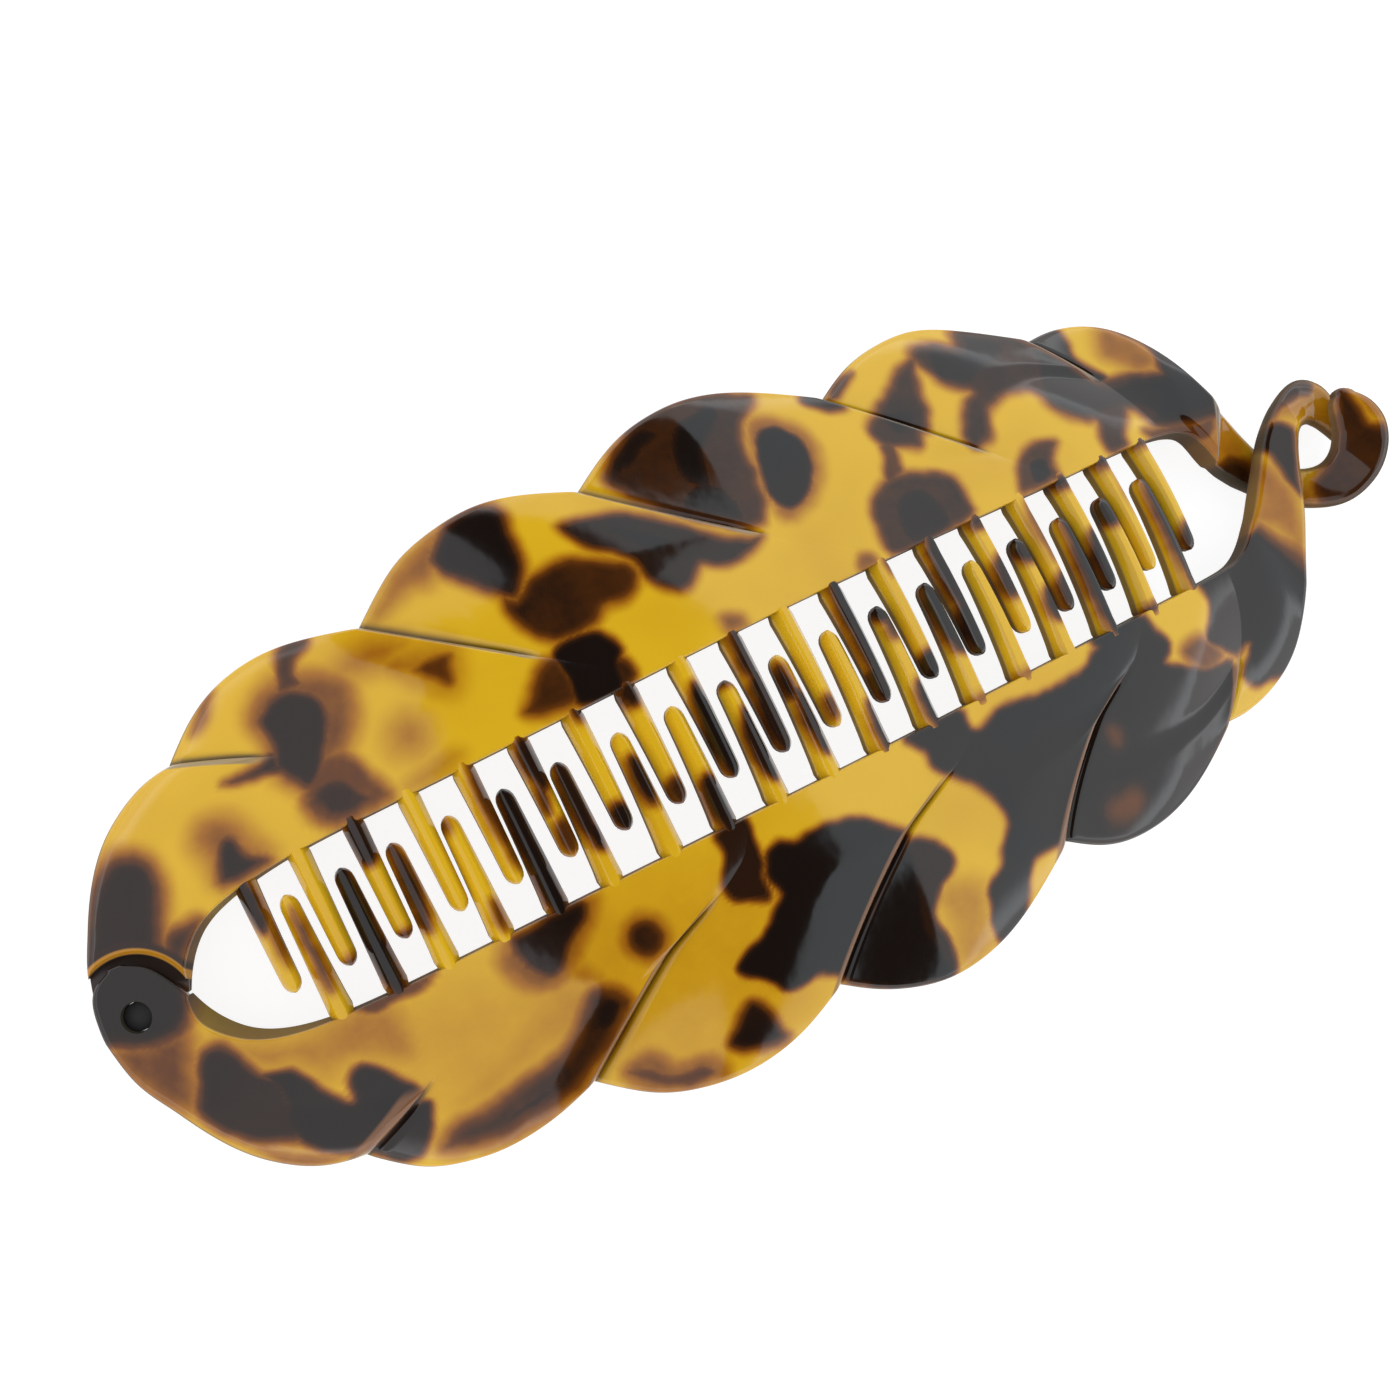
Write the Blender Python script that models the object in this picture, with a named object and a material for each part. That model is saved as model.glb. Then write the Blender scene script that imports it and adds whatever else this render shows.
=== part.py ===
"""Tortoiseshell banana hair clip, closed and lying arched side up.

X runs from the hinge at -X to the hook clasp at +X, Y across the clip and Z up.
Everything is laid out on the arch first: s is the distance from the hinge along the arch,
y the distance across it and h the height above its outer surface, all in millimetres.
Two moulded halves, each with its comb teeth, hinge ear and clasp hook in one piece, swing on a plain pin.
"""

import math

import bmesh
import bpy
import numpy as np

MM = 0.001

# Arch
ARCH_RADIUS = 142.5
PITCH = math.radians(24.6)
ORIGIN = (65.68, -0.346, 4.278)
MIDDLE_Y = -0.43
TURN = np.array([
    # s, turn down from the hinge (degrees)
    (-12.0, -4.82),
    (112.0, 45.0),
    (118.0, 40.1),
    (124.0, 29.1),
    (130.0, 19.1),
    (136.0, 14.1),
    (150.0, 12.1),
])
CROSS_RADIUS = np.array([
    # s, radius of the arch across the clip
    (-5.0, 26.5),
    (5.0, 27.5),
    (30.0, 44.0),
    (70.0, 52.0),
    (115.0, 42.0),
    (150.0, 40.0),
])

# Shell
WALL = 2.5
RIM_WALL = 1.8
EAR_WALL = 3.0
DOME = 0.45
EDGE_ROUND = 0.8
ARM_ROUND = 1.1
CREASE = 0.016

# Outer edge of each half. u counts lobes from the hinge, so whole numbers are the notches.
UPPER_RIM = np.array([
    # u, s, y
    (0.00, -3.7, 0.6),
    (0.15, -2.7, 4.7),
    (0.35, -1.1, 8.8),
    (0.55, 1.1, 12.9),
    (0.72, 4.3, 16.4),
    (0.86, 8.1, 18.4),
    (1.00, 11.4, 19.0),
    (1.20, 15.2, 22.1),
    (1.40, 19.4, 23.9),
    (1.60, 24.3, 24.4),
    (1.80, 29.2, 23.6),
    (2.00, 32.9, 22.6),
    (2.20, 37.8, 26.0),
    (2.40, 42.1, 27.6),
    (2.60, 47.2, 28.2),
    (2.80, 52.1, 27.3),
    (3.00, 57.4, 25.1),
    (3.20, 62.8, 27.8),
    (3.40, 67.5, 28.9),
    (3.60, 72.0, 28.8),
    (3.80, 77.2, 27.1),
    (4.00, 84.0, 23.2),
    (4.20, 89.1, 25.3),
    (4.40, 93.8, 26.1),
    (4.60, 98.2, 25.8),
    (4.80, 102.8, 23.7),
    (5.00, 108.5, 20.3),
    (5.20, 112.7, 20.4),
    (5.40, 116.2, 19.1),
    (5.60, 118.7, 16.4),
    (5.80, 120.8, 12.5),
    (6.00, 122.7, 6.8),
])
LOWER_RIM = np.array([
    # u, s, y
    (0.00, -3.7, -1.0),
    (0.15, -2.9, -5.1),
    (0.35, -1.1, -9.0),
    (0.55, 0.9, -12.8),
    (0.72, 4.0, -16.8),
    (0.86, 7.9, -19.3),
    (1.00, 12.0, -20.2),
    (1.20, 16.1, -23.4),
    (1.40, 20.3, -24.8),
    (1.60, 24.5, -25.2),
    (1.80, 29.4, -24.6),
    (2.00, 34.1, -23.2),
    (2.20, 38.6, -26.5),
    (2.40, 43.0, -28.2),
    (2.60, 48.0, -28.8),
    (2.80, 53.7, -27.9),
    (3.00, 59.3, -25.3),
    (3.20, 63.6, -27.8),
    (3.40, 68.4, -29.4),
    (3.60, 73.0, -29.6),
    (3.80, 79.1, -27.9),
    (4.00, 86.7, -23.1),
    (4.20, 90.9, -25.2),
    (4.40, 95.0, -26.2),
    (4.60, 100.0, -25.9),
    (4.80, 104.9, -24.0),
    (5.00, 109.7, -20.6),
    (5.20, 113.7, -20.7),
    (5.40, 117.5, -19.7),
    (5.60, 120.3, -17.7),
    (5.80, 122.3, -14.9),
    (6.00, 123.8, -12.0),
])

# Inner edge, how far each groove bows towards the clasp, and how deep it steps at the rim.
UPPER_INNER = np.array([
    # u, s, y, bow, step
    (0.0, 5.1, 0.1, 0.0, 0.0),
    (0.2, 6.2, 2.1, 0.3, 0.0),
    (0.4, 8.6, 4.7, 1.0, 0.0),
    (0.6, 12.7, 6.2, 2.0, 0.0),
    (0.8, 18.9, 6.95, 3.2, 0.0),
    (1.0, 27.0, 7.1, 4.0, 0.9),
    (2.0, 54.6, 7.35, 1.5, 1.3),
    (3.0, 80.2, 7.4, 1.5, 1.4),
    (4.0, 101.6, 7.05, 1.2, 1.3),
    (5.0, 115.6, 6.65, 2.2, 1.0),
    (5.5, 118.5, 5.3, 1.0, 0.0),
    (6.0, 119.6, 2.2, 0.0, 1.0),
])
LOWER_INNER = np.array([
    # u, s, y, bow, step
    (0.0, 5.2, -0.5, 0.0, 0.0),
    (0.2, 6.2, -2.8, 0.3, 0.0),
    (0.4, 8.6, -5.7, 1.0, 0.0),
    (0.6, 12.7, -7.4, 2.0, 0.0),
    (0.8, 18.9, -7.95, 3.2, 0.0),
    (1.0, 28.0, -7.95, 4.0, 0.9),
    (2.0, 57.6, -7.85, 1.5, 1.3),
    (3.0, 83.2, -7.7, 1.5, 1.4),
    (4.0, 103.8, -7.5, 1.2, 1.3),
    (5.0, 115.6, -7.35, 2.2, 1.0),
    (5.5, 117.9, -7.15, 1.0, 0.0),
    (6.0, 119.1, -5.8, 0.0, 0.0),
])

# Clasp arms, as the two edges of each arm and the height of its top, from the shell to the hook's end.
UPPER_ARM = np.array([
    # u, outer s, outer y, inner s, inner y, lift
    (6.02, 123.3, 6.3, 119.9, 1.9, -0.9),
    (6.2, 124.4, 4.0, 120.9, 0.9, -1.9),
    (6.4, 125.6, 1.6, 122.4, -0.7, -2.75),
    (6.6, 127.1, -0.6, 124.5, -3.1, -2.85),
    (6.8, 128.9, -2.1, 127.2, -5.4, -2.75),
    (7.0, 130.6, -2.4, 131.0, -7.0, -1.8),
    (7.2, 131.7, -1.4, 134.75, -5.85, -0.8),
    (7.4, 132.5, 0.1, 136.8, -3.4, -0.2),
    (7.6, 133.0, 1.5, 137.5, -0.95, 0.0),
    (7.8, 133.5, 2.5, 136.7, 1.5, 0.0),
    (8.0, 134.3, 3.15, 135.3, 3.0, 0.0),
])
LOWER_ARM = np.array([
    # u, outer s, outer y, inner s, inner y, lift
    (6.2, 124.9, -9.2, 120.4, -4.45, 0.0),
    (6.4, 125.8, -7.0, 121.7, -2.2, 0.05),
    (6.6, 126.8, -4.2, 123.2, -0.1, 0.1),
    (6.8, 127.7, -1.6, 124.7, 1.9, 0.1),
    (7.0, 128.7, 0.5, 126.5, 3.7, 0.0),
    (7.2, 129.6, 1.5, 128.7, 5.15, -0.5),
    (7.4, 130.6, 1.7, 131.35, 6.0, -1.5),
    (7.6, 131.5, 1.3, 133.6, 5.0, -2.7),
    (7.8, 132.2, 0.3, 134.5, 2.8, -3.0),
    (8.0, 132.7, -0.8, 134.4, 0.2, -3.1),
])

# Ear of the lower half, from its far edge to the axis, at the top of the hinge.
LOWER_EAR = np.array([
    # u, outer s, outer y, inner s, inner y
    (-1.00, -0.7, 4.0, 0.9, 3.9),
    (-0.80, -1.9, 3.5, 2.1, 3.2),
    (-0.55, -2.9, 2.4, 3.0, 1.9),
    (-0.28, -3.4, 0.8, 4.2, 0.6),
])
# Ear of the upper half, underneath.
UPPER_EAR = np.array([
    # s, y
    (-3.5, 1.6), (-3.5, 0.2), (-3.2, -1.4), (-2.5, -2.9), (-1.2, -4.1), (0.6, -4.6), (2.5, -4.1),
    (4.0, -2.8), (4.8, -1.2), (5.2, 0.6), (5.2, 1.6), (4.2, 3.6), (1.8, 5.8), (-1.4, 5.8), (-2.6, 3.8),
])

# Hinge
HOLE_RADIUS = 1.25
PIN_RADIUS = 0.95
PIN_TOP = -0.5
PIN_FOOT = -2.9
SEAT_RADIUS = 5.3
EAR_TOP_FLOOR = -1.2
EAR_BASE_TOP = -1.5
FLAT_RADIUS = 3.6
FLAT_BLEND = 5.0

# Comb teeth
UPPER_TEETH = np.array([
    # first s, spacing, count
    (13.6, 5.49, 19),
])
LOWER_TEETH = np.array([
    # first s, spacing, count
    (16.4, 5.42, 2),
    (26.85, 5.465, 4),
    (49.38, 5.53, 12),
])
UPPER_TOOTH = np.array([
    # y, half width, top, foot
    (8.4, 0.9, -0.45, -1.95),
    (6.7, 1.08, -0.15, -2.3),
    (1.0, 0.95, -0.15, -2.15),
    (-3.5, 0.87, -0.25, -1.95),
    (-4.05, 0.62, -0.45, -1.75),
    (-4.3, 0.22, -0.8, -1.35),
])
LOWER_TOOTH = np.array([
    # y, half width, top, foot
    (-9.0, 0.95, -0.45, -1.95),
    (-7.3, 1.18, -0.15, -2.3),
    (-1.0, 0.97, -0.15, -2.15),
    (3.3, 0.87, -0.25, -1.95),
    (3.85, 0.62, -0.45, -1.75),
    (4.1, 0.22, -0.8, -1.35),
])

# Sampling
LOBE_STEPS = (0.0, 0.09, 0.22, 0.36, 0.5, 0.64, 0.78, 0.9, 0.965)
FIELD_ROWS = (0.16, 0.34, 0.52, 0.7, 0.86)


def profile():
    """The side view of the arch as arrays of s, x and z in millimetres, with the slope down in radians."""
    s = np.arange(-12.0, 150.5, 0.5)
    slope = np.radians(np.interp(s, TURN[:, 0], TURN[:, 1]))
    slope = np.convolve(np.pad(slope, 4, mode="edge"), np.ones(9) / 9.0, mode="valid") - PITCH
    middle = (slope[1:] + slope[:-1]) / 2.0
    x = np.concatenate([[0.0], np.cumsum(np.cos(middle)) * 0.5])
    z = np.concatenate([[0.0], -np.cumsum(np.sin(middle)) * 0.5])
    return s, x - np.interp(0.0, s, x), z - np.interp(0.0, s, z), slope


ARCH_S, ARCH_X, ARCH_Z, ARCH_SLOPE = profile()


def sag(s, y):
    """How far the arch has dropped across the clip, and the tilt of its surface."""
    radius = np.interp(s, CROSS_RADIUS[:, 0], CROSS_RADIUS[:, 1])
    y = y - MIDDLE_Y
    return y * y / (2.0 * radius), math.atan2(y, radius)


def place(s, y, h, lift=0.0):
    """Arch coordinates to the part's frame, in metres. Lift raises a point without tilting it outwards."""
    drop, tilt = sag(s, y)
    y = y + h * math.sin(tilt)
    h = h * math.cos(tilt) - drop + lift
    slope = np.interp(s, ARCH_S, ARCH_SLOPE)
    x = np.interp(s, ARCH_S, ARCH_X) + h * math.sin(slope)
    z = np.interp(s, ARCH_S, ARCH_Z) + h * math.cos(slope)
    return ((x - ORIGIN[0]) * MM, (y - ORIGIN[1]) * MM, (z + ORIGIN[2]) * MM)


def place_hinge(s, y, h):
    """Straight coordinates about the hinge axis to the part's frame, in metres."""
    slope = np.interp(0.0, ARCH_S, ARCH_SLOPE)
    x = s * math.cos(slope) + h * math.sin(slope)
    z = -s * math.sin(slope) + h * math.cos(slope)
    return ((x - ORIGIN[0]) * MM, (y - ORIGIN[1]) * MM, (z + ORIGIN[2]) * MM)


def smooth(value):
    value = min(1.0, max(0.0, value))
    return value * value * (3.0 - 2.0 * value)


def spline(table, column, u):
    """Natural cubic through a table's column against its first column."""
    x = table[:, 0]
    y = table[:, column]
    n = len(x)
    if n < 3:
        return float(np.interp(u, x, y))
    gap = np.diff(x)
    matrix = np.eye(n)
    right = np.zeros(n)
    for i in range(1, n - 1):
        matrix[i, i - 1] = gap[i - 1]
        matrix[i, i] = 2.0 * (gap[i - 1] + gap[i])
        matrix[i, i + 1] = gap[i]
        right[i] = 6.0 * ((y[i + 1] - y[i]) / gap[i] - (y[i] - y[i - 1]) / gap[i - 1])
    bend = np.linalg.solve(matrix, right)
    i = int(np.clip(np.searchsorted(x, u, side="right") - 1, 0, n - 2))
    a = (x[i + 1] - u) / gap[i]
    b = (u - x[i]) / gap[i]
    cubic = ((a ** 3 - a) * bend[i] + (b ** 3 - b) * bend[i + 1]) * gap[i] ** 2 / 6.0
    return float(a * y[i] + b * y[i + 1] + cubic)


def lobe_rows(rim, lobe):
    """The rim's rows of one lobe, both notches included."""
    return rim[(rim[:, 0] >= lobe - 1e-6) & (rim[:, 0] <= lobe + 1 + 1e-6)]


def step_height(inner, lobe, v):
    """Height of the step at the far end of a lobe, deepest at the rim."""
    row = inner[np.abs(inner[:, 0] - (lobe + 1)) < 1e-6]
    return float(row[0, 4]) * smooth((v - 0.22) / 0.55)


def flat_share(s, y):
    """How far the surface is levelled into the flat around the hinge hole, from 1 down to 0."""
    return 1.0 - smooth((math.hypot(s, y) - FLAT_RADIUS) / FLAT_BLEND)


def level_lift(s, y):
    """Height that brings the arch up to the plane of the hinge flat."""
    return s * s / (2.0 * ARCH_RADIUS) + sag(s, y)[0]


class Column:
    """One cross-section of a half: its two edges, its bow, and how it is cut off."""

    def __init__(self, u, outer, inner, bow=0.0, lift=0.0, arm=0.0, lobe=None, end=False, ear=False):
        self.u = u
        self.outer = np.array(outer)
        self.inner = np.array(inner)
        self.bow = bow
        self.lift = lift
        self.arm = arm
        self.lobe = lobe
        self.end = end
        self.ear = ear
        self.width = float(np.linalg.norm(self.outer - self.inner))

    def at(self, v):
        middle = (self.outer + self.inner) / 2.0 + np.array((2.0 * self.bow, 0.0))
        return (1 - v) ** 2 * self.inner + 2 * v * (1 - v) * middle + v ** 2 * self.outer

    def relief(self, table, v):
        if self.lobe is None:
            return 0.0
        f = self.u - self.lobe
        rise = smooth(f / 0.6)
        swell = DOME * math.sin(math.pi * min(1.0, max(0.0, f))) * 4.0 * v * (1.0 - v)
        return step_height(table, self.lobe, v) * rise + swell


def columns_of(rim, inner, arm, ear):
    """Every cross-section from the hinge end to the tip of the hook."""
    out = []
    for u, os, oy, ins, iny in ear:
        out.append(Column(u, (os, oy), (ins, iny), ear=True))
    for lobe in range(6):
        rows = lobe_rows(rim, lobe)
        for f in LOBE_STEPS + ((1.0 - CREASE,) if lobe < 5 or arm[0, 0] < 6.1 else ()):
            u = lobe + f
            outer = (spline(rows, 1, u), spline(rows, 2, u))
            near = (spline(inner, 1, u), spline(inner, 2, u))
            bow = float(np.interp(u, inner[:, 0], inner[:, 3]))
            out.append(Column(u, outer, near, bow, lobe=lobe))
    for i, (u, os, oy, ins, iny, lift) in enumerate(arm):
        out.append(Column(u, (os, oy), (ins, iny), lift=lift, arm=smooth((u - 5.9) / 0.5)))
    return out


def section(column, table):
    """Closed loop of one cross-section, as rows of s, y, h and lift."""
    width = column.width
    arm = column.arm
    near = 0.35 + (ARM_ROUND - 0.35) * arm
    far = EDGE_ROUND + (ARM_ROUND - EDGE_ROUND) * arm
    near = min(near, 0.3 * width)
    far = min(far, 0.3 * width)
    slant = 0.15 * (1.0 - arm)
    if not column.ear:
        slant += 1.35 * (1.0 - smooth(column.u / 0.6))
    wall = WALL - 0.15 * arm
    rim_wall = RIM_WALL + 0.25 * arm
    if column.u < 1.0:
        wall += (EAR_WALL - WALL) * (1.0 - smooth(column.u))
        rim_wall += (EAR_WALL - RIM_WALL) * (1.0 - smooth(column.u / 0.5))
    under = 0.15 + 0.5 * arm + 0.6 * (1.0 - smooth(column.u / 0.45)) * (0.0 if column.ear else 1.0)
    top = [(slant, -near), (slant + 0.29 * near, -0.29 * near), (slant + near, 0.0)]
    for row in FIELD_ROWS:
        top.append((slant + near + row * (width - slant - near - far), 0.0))
    top += [(width - far, 0.0), (width - 0.29 * far, -0.29 * far), (width, -far)]
    loop = []
    for distance, h in top:
        v = distance / width
        s, y = column.at(v)
        lift = column.lift + column.relief(table, v)
        if column.u < 2.0:
            share = flat_share(s, y)
            lift = lift * (1.0 - share) + level_lift(s, y) * share
        loop.append((s, y, h, lift))
    foot = [(width, -rim_wall + under), (width - under, -rim_wall)]
    for row in (0.72, 0.45, 0.2):
        foot.append((row * width, -(rim_wall * row + wall * (1.0 - row))))
    foot += [(under, -wall), (0.0, -wall + under)]
    for distance, h in foot:
        s, y = column.at(distance / width)
        loop.append((s, y, h, column.lift))
    return loop


def material(name, colour, roughness):
    out = bpy.data.materials.new(name)
    out.use_nodes = True
    shader = out.node_tree.nodes["Principled BSDF"]
    shader.inputs["Base Color"].default_value = (*colour, 1.0)
    shader.inputs["Roughness"].default_value = roughness
    out.diffuse_color = (*colour, 1.0)
    return out


def add_object(name, points, faces, origin=(0.0, 0.0, 0.0), look=None):
    """A closed mesh object whose own origin sits at the given point."""
    mesh = bpy.data.meshes.new(name)
    local = [tuple(p[k] - origin[k] for k in range(3)) for p in points]
    mesh.from_pydata(local, [], faces)
    work = bmesh.new()
    work.from_mesh(mesh)
    bmesh.ops.triangulate(work, faces=work.faces[:])
    bmesh.ops.recalc_face_normals(work, faces=work.faces[:])
    work.to_mesh(mesh)
    work.free()
    obj = bpy.data.objects.new(name, mesh)
    obj.location = origin
    bpy.context.scene.collection.objects.link(obj)
    if look is not None:
        mesh.materials.append(look)
    return obj


def hide_helper(obj):
    obj.hide_render = True
    obj.display_type = "WIRE"
    return obj


def strip(loops):
    """Faces that skin a run of equal loops and cap both ends."""
    count = len(loops[0])
    faces = []
    for i in range(len(loops) - 1):
        for j in range(count):
            k = (j + 1) % count
            faces.append((i * count + j, i * count + k, (i + 1) * count + k, (i + 1) * count + j))
    faces.append(tuple(range(count)))
    last = (len(loops) - 1) * count
    faces.append(tuple(last + j for j in reversed(range(count))))
    return faces


def shell(name, rim, inner, arm, ear, origin, look):
    loops = [section(column, inner) for column in columns_of(rim, inner, arm, ear)]
    points = [place(*p) for loop in loops for p in loop]
    return add_object(name, points, strip(loops), origin, look)


def comb(name, runs, stations, origin):
    """All the teeth of one half, each a tapering rounded bar that starts inside the shell."""
    points = []
    faces = []
    for first, spacing, count in runs:
        for k in range(int(count)):
            s = first + spacing * k
            base = len(points)
            loops = []
            for y, half, top, foot in stations:
                middle = (top + foot) / 2.0
                tall = (top - foot) / 2.0
                ring = []
                for corner in range(8):
                    turn = math.radians(22.5 + 45.0 * corner)
                    ring.append((s + half * 1.07 * math.cos(turn), y, middle + tall * 1.07 * math.sin(turn)))
                loops.append(ring)
            points += [place(*p) for ring in loops for p in ring]
            faces += [tuple(base + i for i in face) for face in strip(loops)]
    return hide_helper(add_object(name, points, faces, origin))


def prism(name, outline, levels, origin):
    """Straight prism on an outline in hinge coordinates, through levels of h and scale."""
    loops = [[(s * scale, y * scale, h) for s, y in outline] for h, scale in levels]
    points = [place_hinge(*p) for loop in loops for p in loop]
    return add_object(name, points, strip(loops), origin)


def disc(radius, sides, turn=0.0):
    """Outline of a round, in hinge coordinates."""
    step = 2.0 * math.pi / sides
    return [(radius * math.cos(turn + step * k), radius * math.sin(turn + step * k)) for k in range(sides)]


def combine(target, tool, operation):
    change = target.modifiers.new(tool.name, "BOOLEAN")
    change.object = tool
    change.operation = operation
    change.solver = "EXACT"


def main():
    for obj in list(bpy.data.objects):
        bpy.data.objects.remove(obj, do_unlink=True)
    hinge = place_hinge(0.0, 0.0, 0.0)

    lower = shell("lower_half", LOWER_RIM, LOWER_INNER, LOWER_ARM, LOWER_EAR, hinge,
                  material("tortoiseshell_lower", (0.55, 0.33, 0.06), 0.2))
    combine(lower, comb("lower_comb", LOWER_TEETH, LOWER_TOOTH, hinge), "UNION")
    seat = hide_helper(prism("lower_seat", disc(SEAT_RADIUS, 40), ((-8.0, 1.0), (EAR_TOP_FLOOR, 1.0)), hinge))
    combine(lower, seat, "DIFFERENCE")
    combine(lower, hide_helper(prism("lower_hole", disc(HOLE_RADIUS, 24), ((-9.0, 1.0), (4.0, 1.0)), hinge)), "DIFFERENCE")

    upper = shell("upper_half", UPPER_RIM, UPPER_INNER, UPPER_ARM, (), hinge,
                  material("tortoiseshell_upper", (0.62, 0.40, 0.07), 0.2))
    combine(upper, comb("upper_comb", UPPER_TEETH, UPPER_TOOTH, hinge), "UNION")
    levels = ((-EAR_WALL, 0.84), (-EAR_WALL + 0.6, 1.0), (EAR_BASE_TOP - 0.1, 1.0))
    ear = hide_helper(prism("upper_ear", UPPER_EAR, levels, hinge))
    combine(upper, ear, "UNION")
    seat = hide_helper(prism("upper_seat", disc(SEAT_RADIUS, 40), ((EAR_BASE_TOP, 1.0), (8.0, 1.0)), hinge))
    combine(upper, seat, "DIFFERENCE")
    combine(upper, hide_helper(prism("upper_hole", disc(HOLE_RADIUS, 24), ((-9.1, 1.0), (4.1, 1.0)), hinge)), "DIFFERENCE")

    pin = prism("hinge_pin", disc(PIN_RADIUS, 24), ((PIN_FOOT, 1.0), (PIN_TOP, 1.0)), hinge)
    pin.data.materials.append(material("pin_black", (0.02, 0.018, 0.016), 0.35))


main()
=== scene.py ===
"""Looks of the tortoiseshell banana hair clip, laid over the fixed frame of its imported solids.

The shells and teeth are drawn flat first, in arch coordinates: s along the clip from the hinge, y across it
and h above its outer surface. A Geometry Nodes tree then bends them over the arch. The same coordinates are
kept on each mesh in the attribute "chart", in millimetres, so that tables of outlines can place the clouds of
the resin. All tables are in millimetres.
"""

import math

import bmesh
import bpy
import numpy as np
from bpy.props import FloatProperty, FloatVectorProperty, IntProperty, PointerProperty
from mathutils import Matrix, Vector, noise


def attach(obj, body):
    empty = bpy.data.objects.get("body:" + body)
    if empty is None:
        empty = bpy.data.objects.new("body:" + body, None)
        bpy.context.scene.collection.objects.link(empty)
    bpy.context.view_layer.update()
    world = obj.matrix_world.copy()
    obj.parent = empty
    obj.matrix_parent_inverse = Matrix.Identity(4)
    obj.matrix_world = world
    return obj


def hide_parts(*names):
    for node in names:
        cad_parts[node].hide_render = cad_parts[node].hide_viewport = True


bl_info = {
    "name": "Tortoiseshell banana hair clip",
    "version": (1, 0, 0),
    "blender": (4, 5, 0),
    "location": "View3D > Sidebar > Hair clip",
    "description": "Builds the dressed shells, comb teeth, pin and studio of a banana hair clip",
    "category": "Add Mesh",
}

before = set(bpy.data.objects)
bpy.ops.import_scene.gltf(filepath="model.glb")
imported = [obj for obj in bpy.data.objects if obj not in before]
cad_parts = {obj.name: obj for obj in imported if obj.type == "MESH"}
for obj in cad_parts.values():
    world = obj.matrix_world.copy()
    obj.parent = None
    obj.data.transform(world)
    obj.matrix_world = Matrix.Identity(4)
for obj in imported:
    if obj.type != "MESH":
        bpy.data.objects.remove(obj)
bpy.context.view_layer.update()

MM = 0.001

# Arch, as in the solids. PITCH turns it so that the clip lies level, and ORIGIN takes the hinge to its place.
ARCH_RADIUS = 142.5
PITCH = math.radians(24.6)
ORIGIN = (65.68, -0.346, 4.278)
MIDDLE_Y = -0.43
TURN = np.array([
    # s, turn down from the hinge (degrees)
    (-12.0, -4.82),
    (112.0, 45.0),
    (118.0, 40.1),
    (124.0, 29.1),
    (130.0, 19.1),
    (136.0, 14.1),
    (150.0, 12.1),
])
CROSS_RADIUS = np.array([
    # s, radius of the arch across the clip
    (-5.0, 26.5),
    (5.0, 27.5),
    (30.0, 44.0),
    (70.0, 52.0),
    (115.0, 42.0),
    (150.0, 40.0),
])

# Outer edge of each half. u counts lobes from the hinge, so whole numbers are the notches.
UPPER_RIM = np.array([
    # u, s, y
    (0.00, -3.7, 0.6),
    (0.15, -2.7, 4.7),
    (0.35, -1.1, 8.8),
    (0.55, 1.1, 12.9),
    (0.72, 4.3, 16.4),
    (0.86, 8.1, 18.4),
    (1.00, 11.4, 19.0),
    (1.20, 15.2, 22.1),
    (1.40, 19.4, 23.9),
    (1.60, 24.3, 24.4),
    (1.80, 29.2, 23.6),
    (2.00, 32.9, 22.6),
    (2.20, 37.8, 26.0),
    (2.40, 42.1, 27.6),
    (2.60, 47.2, 28.2),
    (2.80, 52.1, 27.3),
    (3.00, 57.4, 25.1),
    (3.20, 62.8, 27.8),
    (3.40, 67.5, 28.9),
    (3.60, 72.0, 28.8),
    (3.80, 77.2, 27.1),
    (4.00, 84.0, 23.2),
    (4.20, 89.1, 25.3),
    (4.40, 93.8, 26.1),
    (4.60, 98.2, 25.8),
    (4.80, 102.8, 23.7),
    (5.00, 108.5, 20.3),
    (5.20, 112.7, 20.4),
    (5.40, 116.2, 19.1),
    (5.60, 118.7, 16.4),
    (5.80, 120.8, 12.5),
    (6.00, 122.7, 6.8),
])
LOWER_RIM = np.array([
    # u, s, y
    (0.00, -3.7, -1.0),
    (0.15, -2.9, -5.1),
    (0.35, -1.1, -9.0),
    (0.55, 0.9, -12.8),
    (0.72, 4.0, -16.8),
    (0.86, 7.9, -19.3),
    (1.00, 12.0, -20.2),
    (1.20, 16.1, -23.4),
    (1.40, 20.3, -24.8),
    (1.60, 24.5, -25.2),
    (1.80, 29.4, -24.6),
    (2.00, 34.1, -23.2),
    (2.20, 38.6, -26.5),
    (2.40, 43.0, -28.2),
    (2.60, 48.0, -28.8),
    (2.80, 53.7, -27.9),
    (3.00, 59.3, -25.3),
    (3.20, 63.6, -27.8),
    (3.40, 68.4, -29.4),
    (3.60, 73.0, -29.6),
    (3.80, 79.1, -27.9),
    (4.00, 86.7, -23.1),
    (4.20, 90.9, -25.2),
    (4.40, 95.0, -26.2),
    (4.60, 100.0, -25.9),
    (4.80, 104.9, -24.0),
    (5.00, 109.7, -20.6),
    (5.20, 113.7, -20.7),
    (5.40, 117.5, -19.7),
    (5.60, 120.3, -17.7),
    (5.80, 122.3, -14.9),
    (6.00, 123.8, -12.0),
])

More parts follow.
